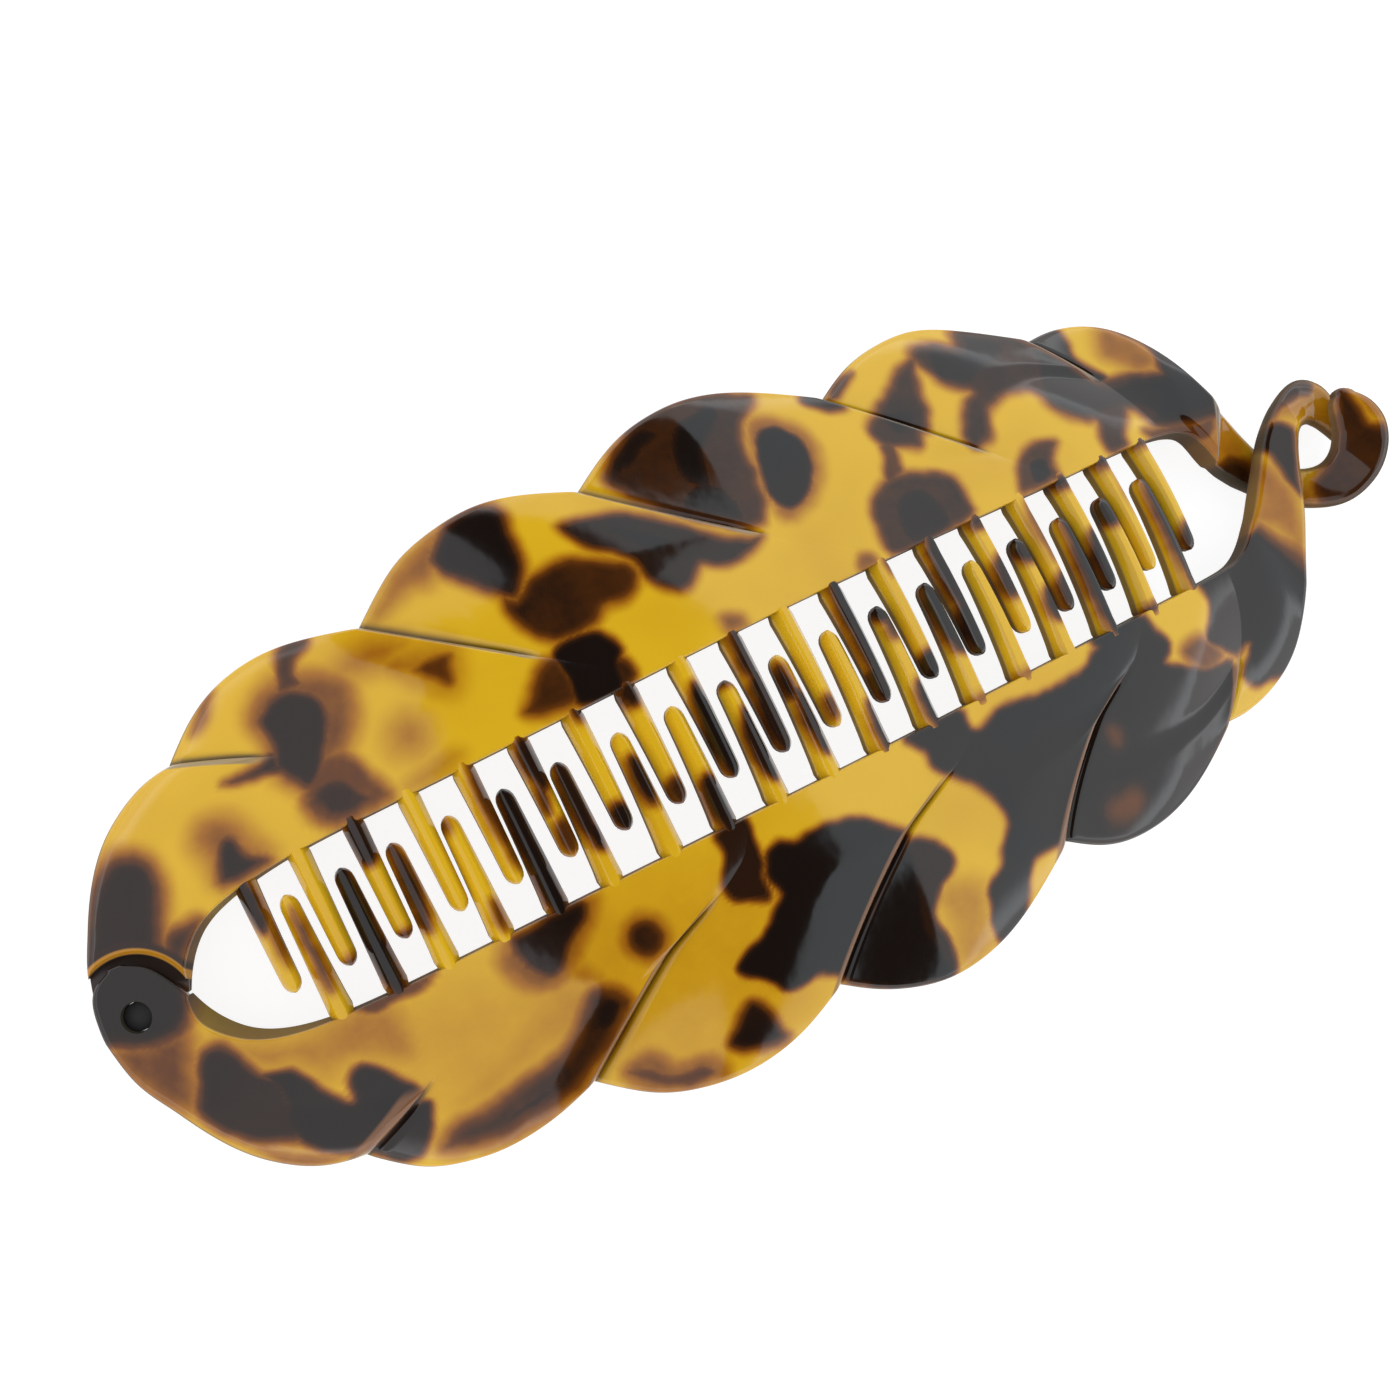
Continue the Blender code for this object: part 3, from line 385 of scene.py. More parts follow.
LOWER_CLOUDS = (
    # depth, blur, outline as s, y
    (0.97, 0.8, ((-5.0, 6.0), (6.0, 6.0), (5.6, 1.0), (4.6, -1.4), (3.4, -2.8), (2.0, -3.2), (0.0, -3.0),
     (-1.6, -2.4), (-3.2, -1.6), (-5.0, -0.6))),
    (0.56, 1.0, ((-4.0, -1.6), (-3.0, -5.0), (-1.6, -8.0), (0.6, -9.6), (2.0, -8.4), (2.4, -6.6),
     (3.4, -5.0), (3.4, -2.6), (0.0, -2.0))),
    (0.88, 0.55, ((2.4, -7.4), (3.2, -6.0), (4.2, -5.0), (5.6, -5.2), (6.6, -6.4), (7.2, -8.0), (7.8, -9.2),
     (9.0, -10.4), (8.8, -14.8), (7.6, -16.2), (6.0, -15.6), (4.4, -15.0), (2.8, -13.4), (1.6, -11.8),
     (0.9, -9.8), (1.6, -8.6))),
    (0.97, 0.4, ((7.6, -9.4), (9.2, -9.6), (10.4, -10.2), (11.4, -11.8), (12.2, -13.4), (13.1, -15.0),
     (13.7, -14.6), (14.0, -13.4), (15.0, -12.5), (16.2, -12.6), (17.6, -13.6), (18.6, -15.0),
     (19.5, -16.2), (19.2, -17.2), (16.0, -18.6), (13.0, -19.2), (10.4, -19.0), (8.6, -17.8), (7.6, -16.4),
     (7.2, -14.4), (8.0, -12.6), (8.0, -10.6))),
    (0.46, 0.6, ((3.4, -14.2), (5.5, -15.8), (7.6, -17.4), (9.6, -18.7), (12.0, -19.4), (8.0, -19.2),
     (5.0, -17.4))),
    (0.28, 0.9, ((5.4, -4.6), (8.0, -6.4), (12.0, -7.6), (20.0, -7.8), (21.5, -11.0), (20.5, -14.0),
     (18.0, -13.0), (15.0, -11.6), (12.6, -12.8), (10.8, -10.0), (7.8, -8.8), (6.6, -6.2))),
    (0.95, 0.35, ((12.6, -19.4), (14.6, -19.2), (16.4, -18.6), (18.4, -17.8), (19.8, -18.0), (19.8, -19.0),
     (19.0, -20.4), (17.8, -21.6), (16.4, -22.2), (15.0, -22.0), (13.6, -20.8))),
    (0.62, 0.3, ((18.0, -7.6), (18.6, -8.7), (20.0, -9.0), (21.4, -8.8), (23.0, -9.0), (24.4, -8.6),
     (25.4, -7.6))),
    (0.22, 1.5, ((22.0, -19.0), (28.0, -16.0), (33.0, -13.4), (36.0, -13.0), (39.0, -15.0), (40.0, -18.0),
     (33.0, -19.0), (26.0, -20.5))),
    (0.8, 0.8, ((18.6, -22.4), (20.6, -21.0), (23.0, -20.9), (25.6, -20.4), (28.0, -19.9), (30.6, -19.4),
     (33.0, -18.8), (34.6, -17.8), (35.6, -16.6), (36.8, -15.4), (38.4, -15.6), (39.8, -16.8),
     (40.4, -18.0), (39.0, -19.4), (37.4, -20.6), (35.0, -22.0), (32.0, -23.4), (29.0, -24.0),
     (25.5, -24.2), (22.0, -23.8))),
    (0.93, 0.6, ((35.6, -18.6), (36.6, -16.8), (38.4, -16.4), (39.6, -17.8), (38.4, -19.4), (36.6, -19.8))),
    (0.88, 0.6, ((24.0, -22.6), (27.0, -21.6), (30.0, -21.2), (31.4, -22.2), (29.0, -23.4), (25.0, -23.6))),
    (0.5, 0.8, ((31.4, -8.6), (31.0, -11.6), (32.0, -13.2), (34.6, -14.0), (37.0, -13.0), (39.6, -10.6),
     (40.6, -7.8))),
    (0.92, 0.55, ((32.6, -8.4), (34.0, -8.0), (37.6, -7.8), (40.0, -8.0), (39.8, -9.4), (38.6, -10.4),
     (37.2, -11.4), (36.2, -12.6), (34.6, -13.0), (33.4, -12.0), (32.6, -10.4))),
    (0.35, 0.8, ((36.0, -12.6), (37.6, -12.4), (39.0, -14.6), (38.4, -15.6), (36.6, -14.6))),
    (0.42, 0.6, ((41.2, -12.8), (42.4, -11.2), (44.4, -11.0), (46.0, -12.4), (46.2, -14.4), (44.8, -15.8),
     (42.8, -15.8), (41.4, -14.6))),
    (0.8, 0.5, ((42.0, -12.8), (42.8, -11.8), (44.2, -11.7), (45.2, -12.6), (45.6, -14.0), (44.6, -15.0),
     (43.0, -15.2), (42.0, -14.2))),
    (0.92, 0.55, ((49.0, -23.2), (50.2, -22.6), (51.2, -23.2), (51.9, -24.6), (52.2, -26.4), (52.8, -27.4),
     (51.0, -27.6), (49.2, -27.2), (47.6, -26.4), (47.0, -25.4), (48.0, -24.4))),
    (0.45, 0.6, ((37.0, -23.2), (40.0, -22.6), (42.0, -24.6), (45.6, -25.4), (46.4, -28.2), (42.0, -28.0),
     (38.0, -25.8))),
    (0.76, 0.6, ((37.2, -23.6), (39.0, -24.0), (41.0, -25.4), (43.4, -25.8), (44.6, -26.2), (45.4, -27.6),
     (43.0, -27.6), (40.6, -26.8), (38.6, -25.4))),
    (0.86, 0.3, ((53.0, -7.8), (56.4, -7.8), (56.7, -10.0), (56.6, -12.2), (55.8, -13.4), (55.8, -15.4),
     (54.4, -15.2), (52.8, -14.4), (52.0, -13.4), (51.8, -12.2), (52.6, -10.8), (53.2, -9.6))),
    (1.0, 0.35, ((56.4, -12.6), (57.2, -11.6), (58.6, -11.0), (59.8, -11.6), (62.0, -11.4), (64.6, -11.8),
     (66.4, -12.2), (68.0, -13.4), (69.4, -14.8), (70.6, -16.0), (68.0, -18.4), (65.4, -20.4),
     (63.4, -22.6), (60.4, -24.8), (57.8, -23.6), (55.4, -23.8), (53.6, -23.2), (52.4, -21.8),
     (50.6, -20.6), (50.2, -19.4), (51.8, -18.4), (53.8, -17.8), (55.4, -16.2), (56.6, -15.4),
     (56.0, -13.8))),
    (0.86, 0.3, ((60.0, -24.4), (61.6, -23.2), (64.4, -20.6), (67.2, -18.2), (69.6, -16.4), (71.4, -16.4),
     (73.0, -17.6), (73.9, -19.2), (73.6, -20.4), (72.0, -21.4), (70.8, -22.8), (70.4, -23.6),
     (71.0, -25.4), (71.2, -27.6), (70.6, -29.4), (66.8, -29.0), (63.4, -27.6))),
    (1.0, 0.35, ((60.0, -24.4), (64.4, -20.6), (69.6, -16.5), (70.4, -18.4), (69.8, -21.0), (69.4, -24.0),
     (70.4, -27.0), (70.6, -29.4), (66.8, -29.0), (63.4, -27.6))),
    (0.24, 0.8, ((71.0, -22.6), (73.0, -21.4), (76.0, -22.6), (75.8, -25.4), (75.6, -28.6), (71.6, -29.0),
     (71.6, -25.0))),
    (0.96, 0.35, ((73.6, -7.6), (74.8, -9.6), (75.2, -11.4), (76.6, -12.6), (78.2, -14.0), (79.4, -15.8),
     (80.2, -17.8), (80.0, -19.4), (78.8, -20.8), (78.2, -22.2), (76.4, -23.4), (76.2, -25.4),
     (75.8, -27.2), (76.6, -29.0), (79.5, -28.0), (80.8, -25.2), (82.0, -23.2), (84.4, -22.8),
     (87.4, -23.4), (89.6, -21.4), (93.0, -17.4), (97.0, -13.6), (100.0, -12.0), (100.0, -8.0),
     (96.0, -8.4), (94.6, -9.4), (92.8, -9.8), (89.6, -9.9), (86.0, -9.3), (83.4, -9.2), (81.6, -10.0),
     (80.4, -9.8), (79.8, -7.6))),
    (0.95, 0.35, ((85.8, -22.8), (88.0, -20.4), (91.6, -15.6), (96.0, -11.8), (98.0, -10.0), (96.0, -8.2),
     (97.0, -7.0), (102.6, -7.0), (103.8, -9.4), (104.8, -11.2), (103.6, -12.4), (106.0, -13.6),
     (109.2, -14.9), (112.4, -15.4), (111.2, -18.2), (109.8, -20.6), (106.0, -23.4), (102.6, -25.4),
     (98.6, -26.2), (94.0, -26.2), (90.0, -25.0))),
    (0.6, 0.5, ((105.5, -12.2), (108.4, -11.6), (110.4, -13.0), (111.4, -14.6), (109.4, -15.6),
     (107.0, -14.4))),
    (0.94, 0.35, ((110.8, -6.8), (111.4, -9.0), (110.6, -11.0), (109.4, -12.6), (111.2, -14.0),
     (113.2, -15.2), (115.2, -14.8), (113.4, -17.0), (114.6, -18.6), (116.6, -18.8), (119.0, -18.8),
     (121.6, -17.0), (123.6, -13.0), (124.2, -10.6), (123.2, -8.6), (122.0, -7.0), (120.6, -5.4),
     (119.0, -5.4), (116.0, -6.8))),
    (-0.3, 0.6, ((94.4, -15.6), (95.4, -15.2), (96.4, -16.4), (95.8, -17.8), (94.6, -17.2))),
    (-0.36, 0.8, ((92.2, -22.0), (94.0, -21.2), (96.4, -21.8), (96.8, -23.4), (95.0, -24.4),
     (92.6, -23.8))),
    (0.14, 3.0, ((20.0, -9.0), (30.0, -9.0), (42.0, -9.0), (56.0, -10.0), (56.0, -24.0), (46.0, -27.0),
     (36.0, -22.0), (26.0, -23.0), (20.0, -18.0))),
    (0.3, 0.6, ((126.0, 2.6), (129.6, 6.4), (134.0, 6.0), (134.6, 1.0), (132.0, -1.4), (130.0, 1.6),
     (128.0, 3.0))),
    (0.36, 0.8, ((119.5, -4.6), (121.5, -2.2), (123.4, 0.6), (125.2, -1.5), (125.6, -5.0), (124.4, -9.4),
     (123.4, -9.4), (122.4, -6.8), (120.8, -5.2))),
    (0.9, 0.4, ((124.4, 1.6), (125.4, 3.0), (127.2, 3.2), (128.4, 1.8), (127.8, 0.2), (126.9, -2.2),
     (126.2, -4.2), (125.4, -2.0), (125.0, 0.2))),
    (0.82, 0.4, ((124.6, 3.0), (126.6, 4.6), (129.0, 5.6), (131.4, 6.2), (133.2, 5.2), (132.4, 3.9),
     (130.6, 4.2), (128.6, 4.2), (126.6, 3.2))),
)
UPPER_TOOTH_CLOUDS = np.array([
    # tooth, offset from its middle, y, half width, half length, depth
    (0, -0.1, 4.9, 1.0, 3.4, 0.93), (0, 0.5, 0.8, 0.5, 2.6, 0.62), (1, 0.2, -4.0, 1.0, 0.7, 0.6),
    (2, 0.0, 5.4, 1.3, 2.6, 0.9), (2, 0.0, -4.0, 1.2, 0.5, 0.7), (4, 0.5, 3.2, 0.8, 5.0, 0.68),
    (4, 0.5, -1.4, 0.6, 1.8, 0.6), (5, 0.1, 4.8, 1.1, 2.8, 0.9), (5, -0.4, 1.8, 0.5, 1.8, 0.8),
    (5, 0.1, -2.2, 1.0, 1.7, 0.72), (6, 0.6, 7.2, 0.8, 1.0, 0.8), (6, 0.1, -2.8, 1.1, 1.4, 0.94),
    (7, -0.1, 6.6, 1.1, 1.4, 0.85), (7, 0.0, -3.0, 1.1, 1.3, 0.76), (8, 0.1, 0.2, 1.3, 4.8, 0.99),
    (9, 0.2, 5.0, 1.1, 3.0, 0.84), (9, 0.1, -0.6, 1.2, 4.4, 0.9), (10, -0.1, -2.3, 0.7, 1.3, 0.74),
    (11, 0.4, 3.0, 1.1, 6.0, 0.96), (11, 0.1, -2.6, 1.2, 2.4, 0.9), (12, 0.7, 6.8, 0.7, 1.1, 0.8),
    (12, 0.1, -3.2, 1.2, 1.6, 0.94), (13, 0.3, 4.0, 1.2, 4.8, 0.93), (13, 0.1, -2.0, 1.3, 3.2, 0.95),
    (14, 0.2, 6.8, 1.2, 0.9, 0.85), (14, 0.1, 1.2, 1.1, 2.1, 0.85), (15, 0.4, 3.6, 0.9, 3.2, 0.55),
    (15, 0.3, -2.6, 1.1, 2.4, 0.86), (16, 0.2, 6.9, 1.3, 0.7, 0.92), (16, 0.2, -1.6, 1.2, 3.4, 0.96),
    (17, 0.3, 6.9, 1.2, 0.7, 0.9), (17, 0.7, 4.2, 0.4, 3.0, 0.45), (18, 0.2, 6.9, 1.0, 0.6, 0.8),
    (18, 0.3, -3.3, 1.1, 1.7, 0.93),
])
LOWER_TOOTH_CLOUDS = np.array([
    # tooth, offset from its middle, y, half width, half length, depth
    (0, 0.1, -1.4, 0.6, 4.2, 0.66), (1, -0.1, -1.8, 1.3, 7.4, 0.95), (2, 0.0, 0.0, 0.9, 4.4, 0.82),
    (2, -0.2, -3.4, 0.7, 1.4, 0.8), (3, -0.5, 3.2, 0.6, 0.8, 0.66), (3, 0.3, -5.9, 0.6, 1.6, 0.64),
    (4, 0.1, -2.0, 1.3, 7.6, 0.98), (5, 0.0, 0.4, 1.1, 4.4, 0.9), (5, 0.3, -3.4, 0.8, 1.4, 0.9),
    (6, 0.1, -0.7, 0.9, 2.4, 0.9), (7, 0.1, -5.9, 1.2, 3.3, 0.93), (8, 0.0, 3.9, 1.3, 0.6, 0.85),
    (8, 0.2, -2.4, 1.1, 3.6, 0.93), (9, -0.5, 1.6, 0.7, 1.8, 0.9), (9, 0.2, -2.6, 1.0, 3.4, 0.92),
    (10, 0.4, -6.2, 0.8, 2.8, 0.86), (11, 0.1, 3.4, 1.3, 1.2, 0.94), (11, 0.1, 1.8, 0.6, 1.4, 0.8),
    (11, 0.4, -6.2, 0.9, 2.6, 0.9), (12, 0.2, 1.2, 1.2, 3.8, 0.95), (12, 0.4, -2.2, 0.8, 1.2, 0.9),
    (14, 0.0, 3.0, 1.3, 1.5, 0.92), (14, 0.4, -2.9, 0.8, 1.8, 0.9), (15, 0.4, -2.0, 1.1, 6.8, 0.97),
    (16, 0.0, 2.6, 1.2, 1.6, 0.94), (16, 0.0, -7.5, 1.2, 0.6, 0.8), (17, 0.35, -2.0, 0.95, 6.8, 0.96),
    (13, 0.0, -7.6, 1.1, 0.4, 0.5), (12, 0.0, -7.7, 1.1, 0.4, 0.6),
])


# Sampling of the shells: cross-sections along each part, and points along each side of a section
EAR_SECTIONS = 26
FOOT_SECTIONS = 9
LOBE_SECTIONS = 56
BEVEL_SECTIONS = 10
ARM_SECTIONS = 110
TOP_POINTS = 76
UNDER_POINTS = 12
ROUND_POINTS = 7

# Fixed seed of the swirls in the clouds. Zero would take the clock.
CLOUD_SEED = 1

# Lobes of each half, the u of the hook's end, and a distance that no groove reaches
LOBES = 6
HOOK_END = 8.0
FAR = 99.0

# Stretch past each step with denser sections, where its groove, lip and the painted shade of its crease lie
FOOT_REACH = 1.6
LIP_REACH = 1.2
CREASE_SHADE_REACH = 0.3
# The least step that has a groove
LEAST_STEP = 0.3

# Slot's walls: the rounding of their edge, how far they lean back at the top, and how far they are tucked
# in below
SLOT_ROUND = 0.25
SLOT_SLANT = 0.03
LOWER_EAR_SLANT = 1.35
UPPER_EAR_SLANT = 0.35
SLOT_TUCK = 0.38

# Rounding of the underside, and what the arm and the ear add to it
UNDER_ROUND = 0.15
ARM_UNDER_ROUND = 0.6
EAR_UNDER_ROUND = 0.6

# How much thinner an arm is along its inner edge, and how much thicker along its outer one
ARM_THINNING = 0.15
ARM_RIM_THICKENING = 0.25

# Width over which the flat around the hinge passes into the lobes
HINGE_FLAT_FADE = 5.0

# Studio, in metres
LIGHTS = (
    # name, x of its two edges, tone
    ("hinge_light", -1.8, -0.115, (0.92, 0.95, 1.0)),
    ("clasp_light", 0.2, 1.8, (0.85, 0.95, 1.0)),
    ("fill_light", -0.5, 0.5, (1.0, 0.97, 0.93)),
)
LIGHT_HEIGHT = 0.6
LIGHT_WIDTH = 3.6
FLOOR_REACH = 3.0
TENT_FADE = 0.12
TENT_TONE = (0.95, 0.98, 1.0, 1.0)
VIEW_SHIFT_LEFT = 0.00144
VIEW_SHIFT_UP = 0.00302
# In millimetres
SENSOR_WIDTH = 36.0


def interpolate(table, column, u):
    """Natural cubic through a table's column against its first column, at every u."""
    x = table[:, 0]
    y = table[:, column]
    n = len(x)
    gap = np.diff(x)
    matrix = np.eye(n)
    right = np.zeros(n)
    for i in range(1, n - 1):
        matrix[i, i - 1] = gap[i - 1]
        matrix[i, i] = 2.0 * (gap[i - 1] + gap[i])
        matrix[i, i + 1] = gap[i]
        right[i] = 6.0 * ((y[i + 1] - y[i]) / gap[i] - (y[i] - y[i - 1]) / gap[i - 1])
    bend = np.linalg.solve(matrix, right)
    u = np.atleast_1d(u)
    i = np.clip(np.searchsorted(x, u, side="right") - 1, 0, n - 2)
    a = (x[i + 1] - u) / gap[i]
    b = (u - x[i]) / gap[i]
    cubic = ((a ** 3 - a) * bend[i] + (b ** 3 - b) * bend[i + 1]) * gap[i] ** 2 / 6.0
    return a * y[i] + b * y[i + 1] + cubic


def smooth(value):
    """Runs smoothly from 0 to 1 as the value does."""
    value = np.clip(value, 0.0, 1.0)
    return value * value * (3.0 - 2.0 * value)


def arch_profile():
    """The side view of the arch as arrays of s, x and z in millimetres, with the slope down in radians."""
    step = 0.5
    window = 9
    s = np.arange(-12.0, 150.5, step)
    slope = np.radians(np.interp(s, TURN[:, 0], TURN[:, 1]))
    padded = np.pad(slope, window // 2, mode="edge")
    slope = np.convolve(padded, np.ones(window) / window, mode="valid") - PITCH
    middle = (slope[1:] + slope[:-1]) / 2.0
    x = np.concatenate([[0.0], np.cumsum(np.cos(middle)) * step])
    z = np.concatenate([[0.0], -np.cumsum(np.sin(middle)) * step])
    return s, x - np.interp(0.0, s, x), z - np.interp(0.0, s, z), slope


ARCH_S, ARCH_X, ARCH_Z, ARCH_SLOPE = arch_profile()
HINGE_SLOPE = float(np.interp(0.0, ARCH_S, ARCH_SLOPE))


def sag(s, y):
    """How far the arch has dropped across the clip."""
    return (y - MIDDLE_Y) ** 2 / (2.0 * np.interp(s, CROSS_RADIUS[:, 0], CROSS_RADIUS[:, 1]))


def hinge_point(s, y, h):
    """Straight coordinates about the hinge axis, in millimetres, to the frame in metres."""
    x = s * math.cos(HINGE_SLOPE) + h * math.sin(HINGE_SLOPE)
    z = -s * math.sin(HINGE_SLOPE) + h * math.cos(HINGE_SLOPE)
    return ((x - ORIGIN[0]) * MM, (y - ORIGIN[1]) * MM, (z + ORIGIN[2]) * MM)


# Node building

class Wire:
    """One node output used as a value. Every operator adds a Math node behind it."""

    def __init__(self, bench, socket):
        self.bench = bench
        self.socket = socket

    def __add__(self, other):
        return self.bench.maths("ADD", self, other)

    def __radd__(self, other):
        return self.bench.maths("ADD", other, self)

    def __sub__(self, other):
        return self.bench.maths("SUBTRACT", self, other)

    def __rsub__(self, other):
        return self.bench.maths("SUBTRACT", other, self)

    def __mul__(self, other):
        return self.bench.maths("MULTIPLY", self, other)

    def __rmul__(self, other):
        return self.bench.maths("MULTIPLY", other, self)

    def __truediv__(self, other):
        return self.bench.maths("DIVIDE", self, other)

    def __rtruediv__(self, other):
        return self.bench.maths("DIVIDE", other, self)


class Bench:
    """Adds nodes to one tree, for materials and Geometry Nodes alike."""

    def __init__(self, tree):
        self.tree = tree

    def node(self, kind, settings=None, values=None, output=0):
        """One node: its settings are made first, then its sockets get values or links. Gives one output."""
        made = self.tree.nodes.new(kind)
        for name, value in (settings or {}).items():
            if name == "stops":
                ramp = made.color_ramp
                while len(ramp.elements) > 1:
                    ramp.elements.remove(ramp.elements[-1])
                for i, (position, tone) in enumerate(value):
                    stop = ramp.elements[0] if i == 0 else ramp.elements.new(position)
                    stop.position = position
                    stop.color = colour(tone)
            else:
                setattr(made, name, value)
        for key, value in (values or {}).items():
            socket = made.inputs[key]
            if isinstance(value, Wire):
                self.tree.links.new(value.socket, socket)
            else:
                socket.default_value = value
        return Wire(self, made.outputs[output]) if made.outputs else made

    def other(self, wire, output):
        """A further output of the node behind a wire."""
        return Wire(self, wire.socket.node.outputs[output])

    def maths(self, operation, first, second=0.0):
        return self.node("ShaderNodeMath", {"operation": operation}, {0: first, 1: second})

    def vector(self, operation, first, second=(0.0, 0.0, 0.0), output=0):
        settings = {"operation": operation}
        return self.node("ShaderNodeVectorMath", settings, {0: first, 1: second}, output)

    def fade(self, value, start, end, low=0.0, high=1.0):
        """Runs smoothly from low to high while value goes from start to end."""
        return self.node("ShaderNodeMapRange", {"interpolation_type": "SMOOTHSTEP", "clamp": False},
                         {0: value, 1: start, 2: end, 3: low, 4: high})

    def mix(self, share, first, second):
        return self.node("ShaderNodeMix", {"data_type": "RGBA"}, {0: share, 6: first, 7: second}, 2)


def colour(value):
    """A colour with full alpha."""
    return (*value[:3], 1.0)


# Arch bending with Geometry Nodes

def arch_line():
    """The side view of the arch as a line with its slope and cross radius on every point, in metres."""
    line = bpy.data.curves.new("arch_line", "CURVE")
    line.dimensions = "3D"
    run = line.splines.new("POLY")
    run.points.add(len(ARCH_S) - 1)
    points = np.zeros((len(ARCH_S), 4))
    points[:, 0] = (ARCH_X - ORIGIN[0]) * MM
    points[:, 2] = (ARCH_Z + ORIGIN[2]) * MM
    points[:, 3] = 1.0
    run.points.foreach_set("co", points.ravel())
    run.points.foreach_set("radius", np.interp(ARCH_S, CROSS_RADIUS[:, 0], CROSS_RADIUS[:, 1]) * MM)
    run.points.foreach_set("tilt", ARCH_SLOPE)
    obj = bpy.data.objects.new("arch_line", line)
    bpy.context.scene.collection.objects.link(obj)
    return obj


BEND_SOCKETS = {
    "Arch Line": "NodeSocketObject",
    "Line Start": "NodeSocketFloat",
    "Crown": "NodeSocketFloat",
    "Side Shift": "NodeSocketFloat",
    "Material": "NodeSocketMaterial",
}


def new_tree(name, sockets):
    """A Geometry Nodes tree with the named inputs and one geometry output."""
    tree = bpy.data.node_groups.new(name, "GeometryNodeTree")
    for label, kind in sockets.items():
        tree.interface.new_socket(name=label, in_out="INPUT", socket_type=kind)
    tree.interface.new_socket(name="Geometry", in_out="OUTPUT", socket_type="NodeSocketGeometry")
    return tree


def end_tree(bench, whole, given):
    """Gives the whole geometry its material and passes it out."""
    painted = bench.node("GeometryNodeSetMaterial", None, {
        "Geometry": whole,
        "Material": bench.other(given, "Material"),
    })
    bench.node("NodeGroupOutput", None, {0: painted})


def bend_tree():
    """Bends flat arch coordinates over the arch line, with the drop and the tilt across the clip."""
    tree = new_tree("arch_bend", {"Geometry": "NodeSocketGeometry", **BEND_SOCKETS})
    bench = Bench(tree)
    given = bench.node("NodeGroupInput")
    line = bench.node("GeometryNodeObjectInfo", {"transform_space": "ORIGINAL"},
                      {"Object": bench.other(given, "Arch Line")}, "Geometry")
    flat = bench.node("ShaderNodeSeparateXYZ", None, {0: bench.node("GeometryNodeInputPosition")})
    y = bench.other(flat, 1)
    h = bench.other(flat, 2)
    along = flat + bench.other(given, "Line Start")
    radius, slope = (
        bench.node("GeometryNodeSampleCurve", {"mode": "LENGTH", "data_type": "FLOAT"}, {
            "Curves": line,
            "Value": bench.node(kept_as),
            "Length": along,
        }, "Value")
        for kept_as in ("GeometryNodeInputRadius", "GeometryNodeInputCurveTilt")
    )
    lift = bench.node("GeometryNodeInputNamedAttribute", {"data_type": "FLOAT"}, {"Name": "lift"},
                      "Attribute")
    from_crown = y - bench.other(given, "Crown")
    tilt = bench.maths("ARCTAN2", from_crown, radius)
    up = h * bench.maths("COSINE", tilt) - from_crown * from_crown / (2.0 * radius) + lift
    across = y + h * bench.maths("SINE", tilt) - bench.other(given, "Side Shift")
    offset = bench.node("ShaderNodeCombineXYZ", None, {
        0: up * bench.maths("SINE", slope),
        1: across,
        2: up * bench.maths("COSINE", slope),
    })
    place = bench.vector("ADD", bench.other(slope, "Position"), offset)
    bent = bench.node("GeometryNodeSetPosition", None, {
        "Geometry": bench.other(given, "Geometry"),
        "Position": place,
    })
    end_tree(bench, bench.node("GeometryNodeRealizeInstances", None, {"Geometry": bent}), given)
    return tree


def comb_tree(bend):
    """Repeats one flat tooth along the clip and bends the row over the arch."""
    tree = new_tree("comb_row", {
        "Geometry": "NodeSocketGeometry",
        "First Tooth": "NodeSocketFloat",
        "Spacing": "NodeSocketFloat",
        "Count": "NodeSocketInt",
        **BEND_SOCKETS,
    })
    bench = Bench(tree)
    given = bench.node("NodeGroupInput")
    start = bench.node("ShaderNodeCombineXYZ", None, {0: bench.other(given, "First Tooth")})
    step = bench.node("ShaderNodeCombineXYZ", None, {0: bench.other(given, "Spacing")})
    points = bench.node("GeometryNodeMeshLine", {"mode": "OFFSET"}, {
        "Count": bench.other(given, "Count"),
        "Start Location": start,
        "Offset": step,
    })
    teeth = bench.node("GeometryNodeInstanceOnPoints", None, {
        "Points": points,
        "Instance": bench.other(given, "Geometry"),
    })
    whole = bench.node("GeometryNodeRealizeInstances", None, {"Geometry": teeth})
    values = {name: bench.other(given, name) for name in BEND_SOCKETS}
    bent = bench.node("GeometryNodeGroup", {"node_tree": bend}, {"Geometry": whole, **values})
    end_tree(bench, bent, given)
    return tree


def evaluated_mesh(obj):
    """A plain mesh of the object as its modifiers leave it."""
    bpy.context.view_layer.update()
    return bpy.data.meshes.new_from_object(obj.evaluated_get(bpy.context.evaluated_depsgraph_get()))


def bent_mesh(name, flat, tree, inputs):
    """Runs a tree on a flat mesh and gives the finished plain mesh."""
    obj = bpy.data.objects.new(name + "_flat", flat)
    bpy.context.scene.collection.objects.link(obj)
    change = obj.modifiers.new("bend", "NODES")
    change.node_group = tree
    for item in tree.interface.items_tree:
        if item.in_out == "INPUT" and item.name in inputs:
            change[item.identifier] = inputs[item.name]
    result = evaluated_mesh(obj)
    result.name = name
    obj.modifiers.remove(change)
    bpy.data.objects.remove(obj)
    return result


def bend_inputs(line, look):
    """Values of the inputs that both trees have."""
    return dict(zip(BEND_SOCKETS, (line, float(-ARCH_S[0] * MM), MIDDLE_Y * MM, ORIGIN[1] * MM, look)))


# Shells

def lobe_table(rim, lobe):
    """The rim's rows from one notch to the next."""
    return rim[(rim[:, 0] >= lobe - 1e-6) & (rim[:, 0] <= lobe + 1 + 1e-6)]


def edge_points(outer, near, u):
    """Outer s and y, then inner s and y, at every u."""
    return [interpolate(table, column, u) for table in (outer, near) for column in (1, 2)]


